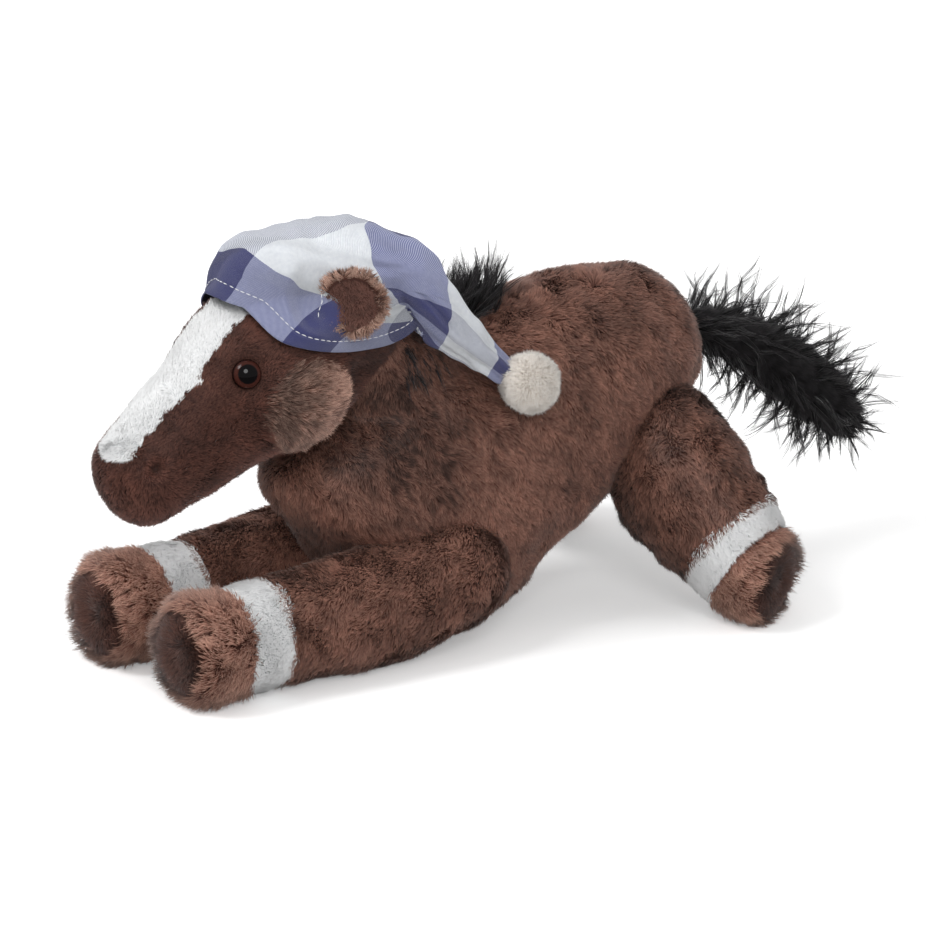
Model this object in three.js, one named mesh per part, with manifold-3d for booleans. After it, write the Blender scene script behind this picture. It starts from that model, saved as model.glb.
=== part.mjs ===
// A plush horse that lies on its belly in a checked nightcap.
// Millimetres, +Z up. The horse faces -Y and its left side is +X. The origin is on the floor, in the
// horse's middle plane and halfway along it. Sizes are given from a point under the chest, and the whole
// horse is moved to the origin at the end.
import * as THREE from "three";
import { mergeVertices } from "three/addons/utils/BufferGeometryUtils.js";
import Module from "manifold-3d";

const wasm = await Module();
wasm.setup();

// Clearances
const GAP = 0.3; // between two pieces that touch
const TURN_GAP = 1; // round the space that a piece passes through as it turns
const BALL_EASE = 1; // the facets of a ball stay within this, and its seat is twice this larger

// Plush, filling and fabric
const COVER_WALL = 4; // backing and flattened pile
const BLAZE_DEEP = 2.5; // how deep the blaze's panel is let into the head's cover
const CAP_WALL = 1.5;

// The trunk, from the chest to the rump: centre of each ring, its half width, and its reach up and down
const TRUNK = {
  stations: [
    { at: [0, -144, 114], wide: 34, high: 34, low: 24 },
    { at: [0, -106, 105], wide: 52, high: 58, low: 40 },
    { at: [0, -66, 99], wide: 61, high: 78, low: 92 },
    { at: [0, -30, 101], wide: 65, high: 88, low: 109.5 },
    { at: [0, 25, 118], wide: 66, high: 82, low: 88 },
    { at: [0, 85, 137], wide: 63, high: 72, low: 72 },
    { at: [0, 138, 139], wide: 46, high: 62, low: 60 },
    { at: [0, 172, 134], wide: 32, high: 44, low: 45 },
  ],
  round: { start: 36, end: 40 },
  skin: { rings: 12, sides: 16 },
  inner: { rings: 12, sides: 10 },
};

// The neck, from the ball that the head turns on to inside the trunk
const NECK = {
  stations: [
    { at: [0, -110, 227], wide: 36, high: 36, low: 36 },
    { at: [0, -84, 196], wide: 36, high: 36, low: 36 },
    { at: [0, -54, 160], wide: 45, high: 51, low: 58 },
    { at: [0, -20, 118], wide: 54, high: 58, low: 56 },
  ],
  round: { start: 36, end: 40 },
  skin: { rings: 7, sides: 12 },
  inner: { rings: 5, sides: 8 },
};
const NECK_OPENING = 18;
const NOD_DOWN = 12; // degrees

// The head, from the poll to the nose
const HEAD = {
  stations: [
    { at: [0, -62, 226], wide: 42, high: 40, low: 40 },
    { at: [0, -104, 209], wide: 47, high: 52, low: 54 },
    { at: [0, -148, 186], wide: 46, high: 54, low: 56 },
    { at: [0, -190, 160], wide: 38, high: 47, low: 42 },
    { at: [0, -228, 137], wide: 34, high: 38, low: 33 },
    { at: [0, -262, 118], wide: 28, high: 27, low: 26 },
  ],
  round: { start: 34, end: 24 },
  skin: { rings: 11, sides: 14 },
  inner: { rings: 7, sides: 10 },
};

// The blaze: its ends as shares of the head's length, and its half widths there
const BLAZE = { from: 0.42, to: 0.92, wideTop: 20, wideEnd: 17, roundEnd: 0.6 };

// Eyes: a domed button on a stem, held by a washer inside the cover
const EYE = {
  at: { along: 0.525, turn: 0.09 }, // shares of the head's length and of a turn round it
  radius: 8,
  dome: 5.5,
  sink: 1.6, // how deep the button's back sits in the pile
  stem: 2.2,
  stemPastWasher: 2,
  washer: 8,
  washerThick: 1.8,
};

// Ears: a leaf with a dished lining, on a rolled root that lets it fold
const EAR = {
  at: { along: 0.245, turn: 0.094 },
  up: [0.72, 0.68, 0.1],
  facing: [0.68, -0.7, 0.22],
  stations: [
    { at: [0, 0, 0], wide: 11, high: 5, low: 5 },
    { at: [0, 11, 0], wide: 16, high: 6, low: 5 },
    { at: [0, 23, -3], wide: 16.5, high: 5, low: 5 },
    { at: [0, 34, -9], wide: 12, high: 4, low: 4 },
  ],
  round: { start: 5, end: 14 },
  skin: { rings: 7, sides: 12 },
  root: 7.5,
  dish: { at: [0, 20, 5.5], size: [12, 12, 6] },
  lining: 1.8,
  turns: [0, 20], // degrees forward
};

// The cap's crown, which stands off the head most at the top, and its brim as seen from the side
const CAP = {
  stations: [
    { at: [0, -42, 229], wide: 46, high: 42, low: 44 },
    { at: [0, -98, 211], wide: 51, high: 63, low: 58 },
    { at: [0, -124, 198.5], wide: 51, high: 79, low: 59 },
    { at: [0, -150, 185], wide: 50, high: 70, low: 60 },
    { at: [0, -190, 160], wide: 42, high: 51, low: 46 },
    { at: [0, -228, 137], wide: 38, high: 42, low: 37 },
  ],
  round: { start: 42, end: 20 },
  skin: { rings: 12, sides: 18 },
  inner: { rings: 12, sides: 18 },
  brim: [
    [-215, 262],
    [-181, 237],
    [-166, 217],
    [-149, 209],
    [-128, 204],
    [-107, 204],
    [-90, 215],
    [-70, 236],
    [-40, 262],
  ],
};

// The cap's long tail, which falls to the left, and the pompom gathered on its tip
const CAP_TAIL = {
  stations: [
    { at: [-6, -90, 255], wide: 12, high: 12, low: 12 },
    { at: [2, -78, 252], wide: 12, high: 12, low: 12 },
    { at: [17, -62, 238], wide: 11, high: 19, low: 17 },
    { at: [31, -55, 223], wide: 9.5, high: 18, low: 16 },
    { at: [49, -42, 201], wide: 8, high: 12.5, low: 12.5 },
    { at: [60, -18, 178], wide: 7, high: 8, low: 8 },
    { at: [64, -10, 171], wide: 7, high: 7, low: 7 },
  ],
  round: { start: 12, end: 7 },
  skin: { rings: 10, sides: 12 },
  hinge: 0.3, // share of its length where its upper edge leaves the crown
  lift: 40, // degrees
};
const POMPOM = { at: [70, -1, 167], radius: 18.5, swing: 30 };

// The mane: a thick strip over the neck's crest, by shares of the neck's length
const MANE = { from: 0.22, to: 0.8, thick: 7, down: 16 };

// Tail
const TAIL = {
  stations: [
    { at: [0, 152, 160], wide: 15, high: 15, low: 15 },
    { at: [0, 168, 157], wide: 15, high: 15, low: 15 },
    { at: [0, 200, 146], wide: 20, high: 20, low: 20 },
    { at: [0, 238, 122], wide: 24, high: 24, low: 24 },
    { at: [0, 276, 90], wide: 23, high: 23, low: 23 },
    { at: [0, 306, 62], wide: 15, high: 15, low: 15 },
  ],
  round: { start: 15, end: 18 },
  skin: { rings: 8, sides: 10 },
  inner: { rings: 7, sides: 8 },
  opening: 7,
  wag: 20, // degrees, each way
};

// Forelegs, from the shoulder to the sole
const FORELEG = {
  stations: [
    { at: [40, -4, 54], wide: 38, high: 38, low: 38 },
    { at: [44, -42, 48], wide: 38, high: 40, low: 38 },
    { at: [49, -88, 40], wide: 36, high: 38, low: 39 },
    { at: [49, -134, 37], wide: 34, high: 36, low: 37 },
    { at: [47, -180, 35.5], wide: 33, high: 34, low: 36 },
    { at: [46, -222, 34.5], wide: 34, high: 34, low: 35 },
    { at: [46, -250, 34], wide: 31, high: 31, low: 33 },
  ],
  round: { start: 38, end: 22 },
  skin: { rings: 9, sides: 12 },
  inner: { rings: 7, sides: 8 },
  band: { from: 0.7, to: 0.81 }, // shares of the leg's length
  sole: 0.95,
  turns: [0, 20], // degrees outward
};

// Hind legs, from the hip to the sole
const HIND_LEG = {
  stations: [
    { at: [12, 112, 118], wide: 42, high: 42, low: 42 },
    { at: [40, 120, 98], wide: 42, high: 45, low: 42 },
    { at: [68, 121, 72], wide: 42, high: 50, low: 45 },
    { at: [95, 130, 50], wide: 37, high: 40, low: 40 },
    { at: [114, 137, 35], wide: 33, high: 33, low: 36 },
    { at: [138, 147, 30], wide: 30, high: 30, low: 33 },
  ],
  round: { start: 42, end: 22 },
  skin: { rings: 9, sides: 12 },
  inner: { rings: 6, sides: 8 },
  band: { from: 0.69, to: 0.8 },
  sole: 0.95,
  turns: [-15, 15],
};

// Colours
const PLUSH_BROWN = { color: 0x6b473c, roughness: 0.95, metalness: 0 };
const PLUSH_HOOF = { color: 0x734c3d, roughness: 0.95, metalness: 0 };
const PLUSH_SOLE = { color: 0x4a2f29, roughness: 0.95, metalness: 0 };
const PLUSH_WHITE = { color: 0xeef0ee, roughness: 0.95, metalness: 0 };
const PILE_BLACK = { color: 0x1c191b, roughness: 0.7, metalness: 0 };
const POMPOM_CREAM = { color: 0xf3e6d6, roughness: 0.95, metalness: 0 };
const EAR_DARK = { color: 0x4f2f26, roughness: 0.95, metalness: 0 };
const CHECK_BLUE = { color: 0x7f86ad, roughness: 0.9, metalness: 0 };
const EYE_GLOSS = { color: 0x2a1712, roughness: 0.1, metalness: 0 };
const WASHER_WHITE = { color: 0xe8e8e4, roughness: 0.5, metalness: 0 };
const FIBREFILL = { color: 0xf7f6f2, roughness: 1, metalness: 0 };

const UP = new THREE.Vector3(0, 0, 1);
const GEOMETRY_UP = new THREE.Vector3(0, 1, 0); // of three.js's cylinders and spheres
const SIDEWAYS = new THREE.Vector3(1, 0, 0);
const LENGTH_STEPS = 200;
const REACH = 600; // half the side of a box that cuts everything on one side of a plane
const BALL_SIDES = 16;
const SMALL_BALL_SIDES = 12;
const ROD_SIDES = 12;

const vector = (xyz) => new THREE.Vector3(...xyz);

// Solids

function manifoldOf(vertProperties, triVerts) {
  return new wasm.Manifold(new wasm.Mesh({ numProp: 3, vertProperties, triVerts }));
}

function solidOf(geometry) {
  const bare = geometry.clone();
  bare.deleteAttribute("normal");
  bare.deleteAttribute("uv");
  const merged = mergeVertices(bare, 1e-4);
  return manifoldOf(merged.attributes.position.array, new Uint32Array(merged.index.array));
}

// A copy of a solid, moved or mirrored
function moved(solid, matrix) {
  const { vertProperties, triVerts } = solid.getMesh();
  const points = new Float32Array(vertProperties);
  new THREE.BufferAttribute(points, 3).applyMatrix4(matrix);
  const corners = new Uint32Array(triVerts);
  if (matrix.determinant() < 0)
    for (let i = 0; i < corners.length; i += 3) [corners[i], corners[i + 1]] = [corners[i + 1], corners[i]];
  return manifoldOf(points, corners);
}

const mirrored = (solid) => moved(solid, new THREE.Matrix4().makeScale(-1, 1, 1));
const joined = (...solids) => solids.reduce((a, b) => a.add(b));
const cut = (solid, ...others) => others.reduce((a, b) => a.subtract(b), solid);

// The corners of a solid's largest body, without the slivers that a cut leaves. Triangles that share an
// edge are of one body.
function largestBody(triVerts) {
  const count = triVerts.length / 3;
  const owner = Array.from({ length: count }, (_, t) => t);
  const find = (t) => {
    while (owner[t] !== t) t = owner[t] = owner[owner[t]];
    return t;
  };
  const firstAt = new Map();
  for (let t = 0; t < count; t++)
    for (let k = 0; k < 3; k++) {
      const [a, b] = [triVerts[3 * t + k], triVerts[3 * t + ((k + 1) % 3)]];
      const edge = `${Math.min(a, b)} ${Math.max(a, b)}`;
      if (firstAt.has(edge)) owner[find(t)] = find(firstAt.get(edge));
      else firstAt.set(edge, t);
    }
  const bodies = new Map();
  for (let t = 0; t < count; t++) {
    const body = find(t);
    if (!bodies.has(body)) bodies.set(body, []);
    bodies.get(body).push(...triVerts.slice(3 * t, 3 * t + 3));
  }
  return [...bodies.values()].reduce((a, b) => (b.length > a.length ? b : a));
}

function geometryOf(solid) {
  const mesh = solid.getMesh();
  const geometry = new THREE.BufferGeometry();
  geometry.setAttribute("position", new THREE.BufferAttribute(new Float32Array(mesh.vertProperties), 3));
  geometry.setIndex(largestBody(mesh.triVerts));
  geometry.computeVertexNormals();
  return geometry;
}

// A ball with its poles on an axis
function ball(centre, radius, axis = UP, sides = BALL_SIDES) {
  const geometry = new THREE.SphereGeometry(radius, sides, sides / 2);
  geometry.applyQuaternion(new THREE.Quaternion().setFromUnitVectors(GEOMETRY_UP, axis));
  return solidOf(geometry.translate(centre.x, centre.y, centre.z));
}

function rod(from, to, radius, sides = ROD_SIDES) {
  const along = to.clone().sub(from);
  const geometry = new THREE.CylinderGeometry(radius, radius, along.length(), sides);
  geometry.applyQuaternion(new THREE.Quaternion().setFromUnitVectors(GEOMETRY_UP, along.normalize()));
  const middle = from.clone().add(to).multiplyScalar(0.5);
  return solidOf(geometry.translate(middle.x, middle.y, middle.z));
}

// Everything on the side of a plane that its direction points to
function beyond(point, direction) {
  const geometry = new THREE.BoxGeometry(2 * REACH, 2 * REACH, 2 * REACH);
  geometry.translate(0, 0, REACH);
  geometry.applyQuaternion(new THREE.Quaternion().setFromUnitVectors(UP, direction.clone().normalize()));
  return solidOf(geometry.translate(point.x, point.y, point.z));
}

const underFloor = beyond(new THREE.Vector3(0, 0, 0), new THREE.Vector3(0, 0, -1));

// The space that a solid passes through as it turns about a pivot
function swept(solid, pivot, axis, angles) {
  const turned = (degrees) => {
    const turn = new THREE.Matrix4().makeRotationAxis(axis, THREE.MathUtils.degToRad(degrees));
    const there = new THREE.Matrix4().makeTranslation(pivot.x, pivot.y, pivot.z);
    const back = new THREE.Matrix4().makeTranslation(-pivot.x, -pivot.y, -pivot.z);
    return moved(solid, there.multiply(turn).multiply(back));
  };
  return joined(...angles.map(turned));
}

// A soft form swept along a curve through its stations, with rings that swell and taper and rounded ends
class SoftForm {
  constructor({ stations, round, skin, inner }) {
    this.path = new THREE.CatmullRomCurve3(stations.map((s) => vector(s.at)));
    const sizes = stations.map((s) => new THREE.Vector3(s.wide, s.high, s.low));
    this.sizes = new THREE.CatmullRomCurve3(sizes, false, "catmullrom", 0.5);
    this.round = round;
    this.skin = skin;
    this.inner = inner;
    this.lengths = this.path.getLengths(LENGTH_STEPS);
    this.total = this.lengths[LENGTH_STEPS];
  }

  // The curve's own parameter at a distance from its start
  parameterAt(distance) {
    const d = THREE.MathUtils.clamp(distance, 0, this.total);
    let i = this.lengths.findIndex((length) => length >= d);
    i = Math.max(i, 1);
    const step = this.lengths[i] - this.lengths[i - 1];
    return (i - 1 + (d - this.lengths[i - 1]) / step) / LENGTH_STEPS;
  }

  // Centre, directions and sizes of the ring at a distance, which may lie past an end
  ringAt(distance) {
    const t = this.parameterAt(distance);
    const tangent = this.path.getTangent(t);
    const past = distance - THREE.MathUtils.clamp(distance, 0, this.total);
    const side = new THREE.Vector3().crossVectors(UP, tangent).normalize();
    return {
      centre: this.path.getPoint(t).addScaledVector(tangent, past),
      tangent,
      side,
      rise: new THREE.Vector3().crossVectors(tangent, side),
      size: this.sizes.getPoint(t),
    };
  }

  endShare(distance, inset) {
    const rounding = (d, radius) => (d >= radius ? 1 : Math.sqrt(Math.max(0, 1 - (1 - d / radius) ** 2)));
    return (
      rounding(distance - inset, this.round.start - inset) *
      rounding(this.total - inset - distance, this.round.end - inset)
    );
  }

  pointAt(distance, turn, inset = 0) {
    const { centre, side, rise, size } = this.ringAt(distance);
    const share = this.endShare(distance, inset);
    const c = Math.cos(2 * Math.PI * turn);
    const s = Math.sin(2 * Math.PI * turn);
    const tall = (s > 0 ? size.y : size.z) - inset;
    return centre.addScaledVector(side, c * (size.x - inset) * share).addScaledVector(rise, s * tall * share);
  }

  // A place on the skin, by shares of the length and of a turn, and the direction that faces out there
  skinAt({ along, turn }) {
    const d = along * this.total;
    const small = 0.5;
    const down = this.pointAt(d + small, turn).sub(this.pointAt(d - small, turn));
    const round = this.pointAt(d, turn + 0.01).sub(this.pointAt(d, turn - 0.01));
    return { point: this.pointAt(d, turn), out: round.cross(down).normalize() };
  }

  // The solid inside the skin, or inside a skin that lies deeper by the inset. Inner ones have fewer facets.
  solid(inset = 0) {
    const { rings, sides } = inset > GAP ? this.inner : this.skin;
    const span = this.total - 2 * inset;
    const positions = [];
    for (let i = 1; i < rings; i++) {
      const distance = inset + (span * (1 - Math.cos((Math.PI * i) / rings))) / 2;
      for (let k = 0; k < sides; k++) positions.push(...this.pointAt(distance, k / sides, inset));
    }
    const last = (rings - 2) * sides;
    const startPole = last + sides;
    const endPole = startPole + 1;
    positions.push(...this.ringAt(inset).centre, ...this.ringAt(inset + span).centre);
    const index = [];
    for (let k = 0; k < sides; k++) {
      const next = (k + 1) % sides;
      index.push(startPole, next, k, endPole, last + k, last + next);
      for (let a = 0; a < last; a += sides) {
        const b = a + sides;
        index.push(a + k, a + next, b + next, a + k, b + next, b + k);
      }
    }
    const geometry = new THREE.BufferGeometry();
    geometry.setAttribute("position", new THREE.BufferAttribute(new Float32Array(positions), 3));
    geometry.setIndex(index);
    return solidOf(geometry);
  }

  // Everything past a plane square to the path, at a share of the length
  past(share, offset = 0) {
    const { centre, tangent } = this.ringAt(share * this.total + offset);
    return beyond(centre, tangent);
  }
}

// A soft form whose rounded start is a ball that turns in a seat
class Limb extends SoftForm {
  constructor(spec) {
    super(spec);
    this.radius = spec.round.start;
    this.root = this.ringAt(this.radius).centre;
  }

  seat(axis) {
    return ball(this.root, this.radius + 2 * BALL_EASE, axis);
  }

  // What a larger form takes from the limb through all its turns about an axis, which spares the ball
  spaceOf(larger, axis, angles) {
    const spared = ball(this.root, this.radius + BALL_EASE, axis);
    return cut(swept(larger, this.root, axis, angles), spared);
  }
}

// The assembly
const horse = new THREE.Group();

function add(name, solid, material) {
  const mesh = new THREE.Mesh(geometryOf(solid), new THREE.MeshStandardMaterial(material));
  mesh.name = name;
  horse.add(mesh);
}

function addPair(name, solid, material) {
  add(`left_${name}`, solid, material);
  add(`right_${name}`, mirrored(solid), material);
}

const pair = (solid) => [solid, mirrored(solid)];
const through = ([low, high]) => [low, (low + high) / 2, high];

const trunk = new SoftForm(TRUNK);
const neck = new Limb(NECK);
const head = new SoftForm(HEAD);
const foreleg = new Limb(FORELEG);
const hindLeg = new Limb(HIND_LEG);
const tail = new Limb(TAIL);
const capForm = new SoftForm(CAP);
const capTail = new SoftForm(CAP_TAIL);

const body = (inset) => trunk.solid(inset).add(neck.solid(inset));
const trunkClear = trunk.solid(-TURN_GAP);

// The body's space as the head sees it while it nods
const bodyFromHead = joined(
  swept(body(-TURN_GAP), neck.root, SIDEWAYS, [-NOD_DOWN, 0]),
  neck.seat(SIDEWAYS),
);

// The trunk and the neck are one cover round one filling
function addBody() {
  const seats = [...pair(foreleg.seat(UP)), ...pair(hindLeg.seat(UP)), tail.seat(UP)];
  const towardsHead = neck.ringAt(0).centre;
  const opening = rod(neck.root, towardsHead, NECK_OPENING);
  add("body_cover", cut(body(0), body(COVER_WALL), opening, ...seats, underFloor), PLUSH_BROWN);
  add("body_filling", cut(body(COVER_WALL + GAP), ...seats), FIBREFILL);
}

function addLeg(name, leg, { band, sole, turns }) {
  const trunkSpace = leg.spaceOf(trunkClear, UP, through(turns).map((angle) => -angle));
  const shell = cut(leg.solid(), leg.solid(COVER_WALL), trunkSpace, underFloor);
  addPair(`${name}_cover`, cut(shell, leg.past(band.from)), PLUSH_BROWN);
  addPair(`${name}_band`, cut(shell.intersect(leg.past(band.from, GAP)), leg.past(band.to)), PLUSH_WHITE);
  addPair(`${name}_hoof`, cut(shell.intersect(leg.past(band.to, GAP)), leg.past(sole)), PLUSH_HOOF);
  addPair(`${name}_sole`, shell.intersect(leg.past(sole, GAP)), PLUSH_SOLE);
  addPair(`${name}_filling`, cut(leg.solid(COVER_WALL + GAP), trunkSpace), FIBREFILL);
}

function addTail() {
  const trunkSpace = tail.spaceOf(trunkClear, UP, [-TAIL.wag, 0, TAIL.wag]);
  const opening = rod(tail.root, tail.ringAt(0).centre, TAIL.opening);
  add("tail_cover", cut(tail.solid(), tail.solid(COVER_WALL), opening, trunkSpace), PILE_BLACK);
  add("tail_filling", cut(tail.solid(COVER_WALL + GAP), trunkSpace), FIBREFILL);
}

// An eye's button with its stem, its washer, and the spaces that they need in the head
function makeEye() {
  const { point, out } = head.skinAt(EYE.at);
  const back = point.clone().addScaledVector(out, -EYE.sink);
  const at = (distance) => back.clone().addScaledVector(out, distance);
  const washerAt = EYE.sink - COVER_WALL;
  const stemEnd = washerAt - EYE.washerThick - EYE.stemPastWasher;
  const dome = new THREE.SphereGeometry(EYE.radius, ROD_SIDES, ROD_SIDES / 2);
  dome.rotateX(Math.PI / 2).scale(1, 1, EYE.dome / EYE.radius);
  dome.applyQuaternion(new THREE.Quaternion().setFromUnitVectors(UP, out));
  const button = solidOf(dome.translate(back.x, back.y, back.z)).intersect(beyond(back, out));
  const bore = rod(at(0), at(stemEnd - GAP), EYE.stem + GAP);
  return {
    button: button.add(rod(at(stemEnd), at(EYE.dome / 2), EYE.stem)),
    washer: cut(rod(at(washerAt), at(washerAt - EYE.washerThick), EYE.washer), bore),
    seat: joined(rod(at(-GAP), at(2 * EYE.dome), EYE.radius + GAP), bore),
    pocket: rod(at(washerAt + GAP), at(stemEnd - GAP), EYE.washer + GAP),
  };
}

// An ear in axes of its own, which are across, along and the way that it faces, then put on the head
function makeEar() {
  const root = head.skinAt(EAR.at).point;
  const along = vector(EAR.up).normalize();
  const facing = vector(EAR.facing).projectOnPlane(along).normalize();
  const across = new THREE.Vector3().crossVectors(along, facing);
  const place = new THREE.Matrix4().makeBasis(across, along, facing).setPosition(root);
  const dish = (inset) => {
    const [x, y, z] = EAR.dish.size.map((size) => size - inset);
    const geometry = new THREE.SphereGeometry(1, ROD_SIDES, ROD_SIDES / 2).rotateX(Math.PI / 2);
    return solidOf(geometry.scale(x, y, z).translate(...EAR.dish.at));
  };
  const form = new SoftForm(EAR);
  const leaf = form.solid();
  return {
    root,
    across,
    leaf: moved(cut(leaf, dish(0)), place).add(ball(root, EAR.root, across, SMALL_BALL_SIDES)),
    lining: moved(cut(leaf.intersect(dish(GAP)), dish(GAP + EAR.lining)), place),
    clear: moved(form.solid(-TURN_GAP), place),
    seat: ball(root, EAR.root + 2 * BALL_EASE, across, SMALL_BALL_SIDES),
  };
}

const eye = makeEye();
const ear = makeEar();
const earTurns = through(EAR.turns);

// The blaze's outline grown by an ease, extruded square to the face from the middle of the head
function blazePrism(ease) {
  const from = head.ringAt(BLAZE.from * head.total).centre;
  const along = head.ringAt(BLAZE.to * head.total).centre.sub(from);
  const length = along.length() + ease;
  along.normalize();
  const [top, end] = [BLAZE.wideTop + ease, BLAZE.wideEnd + ease];
  const round = end * BLAZE.roundEnd;
  const outline = new THREE.Shape();
  outline.moveTo(-top, -ease);
  outline.lineTo(top, -ease);
  outline.lineTo(end, length - round);
  outline.quadraticCurveTo(end, length, end - round, length);
  outline.lineTo(round - end, length);
  outline.quadraticCurveTo(-end, length, -end, length - round);
  const geometry = new THREE.ExtrudeGeometry(outline, { depth: REACH, bevelEnabled: false, curveSegments: 4 });
  const facing = new THREE.Vector3().crossVectors(along, SIDEWAYS);
  const across = new THREE.Vector3().crossVectors(along, facing);
  return solidOf(geometry.applyMatrix4(new THREE.Matrix4().makeBasis(across, along, facing).setPosition(from)));
}

function addHead() {
  const shared = [bodyFromHead, ...pair(ear.seat), ...pair(eye.pocket)];
  const blazeSeat = cut(blazePrism(GAP), head.solid(BLAZE_DEEP + GAP));
  const cover = cut(head.solid(), head.solid(COVER_WALL), blazeSeat, ...pair(eye.seat), ...shared);
  add("head_cover", cover, PLUSH_BROWN);
  add("head_filling", cut(head.solid(COVER_WALL + GAP), ...shared), FIBREFILL);
  add("blaze", cut(blazePrism(0).intersect(head.solid()), head.solid(BLAZE_DEEP)), PLUSH_WHITE);
  addPair("eye", eye.button, EYE_GLOSS);
  addPair("eye_washer", eye.washer, WASHER_WHITE);
}

function addEars() {
  const headTurns = earTurns.map((angle) => -angle);
  const headSpace = swept(head.solid(-TURN_GAP), ear.root, ear.across, headTurns);
  const kept = ball(ear.root, EAR.root + BALL_EASE, ear.across, SMALL_BALL_SIDES);
  addPair("ear", cut(ear.leaf, cut(headSpace, kept)), PLUSH_BROWN);
  addPair("ear_lining", ear.lining, EAR_DARK);
}

// Everything above the brim, whose line is drawn as seen from the side
function aboveBrim() {
  const points = CAP.brim.map(([y, z]) => new THREE.Vector2(y, z));
  const outline = new THREE.Shape();
  outline.moveTo(points[0].x, points[0].y);
  outline.splineThru(points.slice(1));
  outline.lineTo(points.at(-1).x, REACH);
  outline.lineTo(points[0].x, REACH);
  const geometry = new THREE.ExtrudeGeometry(outline, { depth: 2 * REACH, bevelEnabled: false, curveSegments: 12 });
  geometry.translate(0, 0, -REACH);
  const forward = new THREE.Vector3(0, 1, 0);
  return solidOf(geometry.applyMatrix4(new THREE.Matrix4().makeBasis(forward, UP, SIDEWAYS)));
}

// The long tail folds along its upper edge, and the pompom swings on its tip
const liftPivot = capTail.pointAt(CAP_TAIL.hinge * capTail.total, 0.25);
const tailTip = capTail.ringAt(capTail.total - CAP_TAIL.round.end).centre;
const liftAxis = new THREE.Vector3().crossVectors(UP, liftPivot.clone().sub(tailTip)).normalize();

function addCap() {
  const slit = swept(ear.clear, ear.root, ear.across, earTurns).add(ear.seat);
  const spaces = [head.solid(-GAP), bodyFromHead, ...pair(slit)];
  const crown = cut(capForm.solid(), capForm.solid(CAP_WALL)).intersect(aboveBrim());
  add("cap_crown", cut(crown, ...spaces), CHECK_BLUE);

  const capSpace = swept(capForm.solid(-TURN_GAP), liftPivot, liftAxis, through([-CAP_TAIL.lift, 0]));
  add("cap_tail", cut(capTail.solid(), capSpace, bodyFromHead), CHECK_BLUE);

  const tailSpace = joined(
    swept(capTail.solid(-TURN_GAP), tailTip, liftAxis, through([-POMPOM.swing, 0])),
    ball(tailTip, CAP_TAIL.round.end + 2 * BALL_EASE, liftAxis),
  );
  add("pompom", cut(ball(vector(POMPOM.at), POMPOM.radius), tailSpace), POMPOM_CREAM);
}

function addMane() {
  const { centre, rise } = neck.ringAt(((MANE.from + MANE.to) / 2) * neck.total);
  const upper = beyond(centre.addScaledVector(rise, MANE.down), rise);
  const strip = cut(neck.solid(-MANE.thick).intersect(neck.past(MANE.from)), neck.past(MANE.to)).intersect(upper);
  const worn = head.solid(-TURN_GAP).add(capForm.solid(-TURN_GAP).intersect(aboveBrim()));
  const headSpace = swept(worn, neck.root, SIDEWAYS, [0, NOD_DOWN]);
  const tailSpace = swept(capTail.solid(-TURN_GAP), neck.root, SIDEWAYS, through([0, NOD_DOWN]));
  add("mane", cut(strip, body(-GAP), headSpace, tailSpace), PILE_BLACK);
}

addBody();
addHead();
addEars();
addCap();
addMane();
addLeg("foreleg", foreleg, FORELEG);
addLeg("hind_leg", hindLeg, HIND_LEG);
addTail();

const extent = new THREE.Box3().setFromObject(horse);
horse.position.y = -(extent.min.y + extent.max.y) / 2;

export default horse;
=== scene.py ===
"""The looks of a plush horse in a checked nightcap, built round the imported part.

Sizes are in millimetres from the part's own point under the chest, and become metres in place().
The part's left side is the +X side, and pairs are made on the left and mirrored.
"""

import math

import bpy
import numpy as np
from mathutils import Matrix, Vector
from mathutils.bvhtree import BVHTree
from mathutils.kdtree import KDTree


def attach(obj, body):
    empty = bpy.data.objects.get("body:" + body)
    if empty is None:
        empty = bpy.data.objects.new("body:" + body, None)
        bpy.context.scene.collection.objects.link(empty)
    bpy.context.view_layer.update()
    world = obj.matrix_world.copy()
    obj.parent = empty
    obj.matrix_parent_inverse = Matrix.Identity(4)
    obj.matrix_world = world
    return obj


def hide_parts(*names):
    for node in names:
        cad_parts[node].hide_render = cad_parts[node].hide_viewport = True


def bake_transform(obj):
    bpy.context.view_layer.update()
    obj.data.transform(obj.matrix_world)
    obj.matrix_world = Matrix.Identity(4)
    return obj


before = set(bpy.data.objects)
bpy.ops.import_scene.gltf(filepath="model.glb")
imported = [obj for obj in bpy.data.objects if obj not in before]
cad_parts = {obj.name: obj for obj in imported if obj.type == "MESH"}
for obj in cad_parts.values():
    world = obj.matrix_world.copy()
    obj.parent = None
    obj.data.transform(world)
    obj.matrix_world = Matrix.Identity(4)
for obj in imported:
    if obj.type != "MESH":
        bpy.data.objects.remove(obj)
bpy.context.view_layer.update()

MM = 0.001
UP = np.array([0.0, 0.0, 1.0])
SHIFT = np.array([0.0, -21.774, 0.0])  # from the point under the chest to the part's origin
PILE = 4.0  # how deep the skin lies under the tips of the pile
STEPS = 200  # from end to end of a curve
TONES = 64  # cells across the fur's map, from dark to light
MOST_TRIANGLES = 190000  # in one piece
HAIR_TRIANGLES = {2: 3, 3: 9}  # in a hair, by its sides
LEFT, RIGHT = 1, -1
SIDES = {"left": LEFT, "right": RIGHT}

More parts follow.
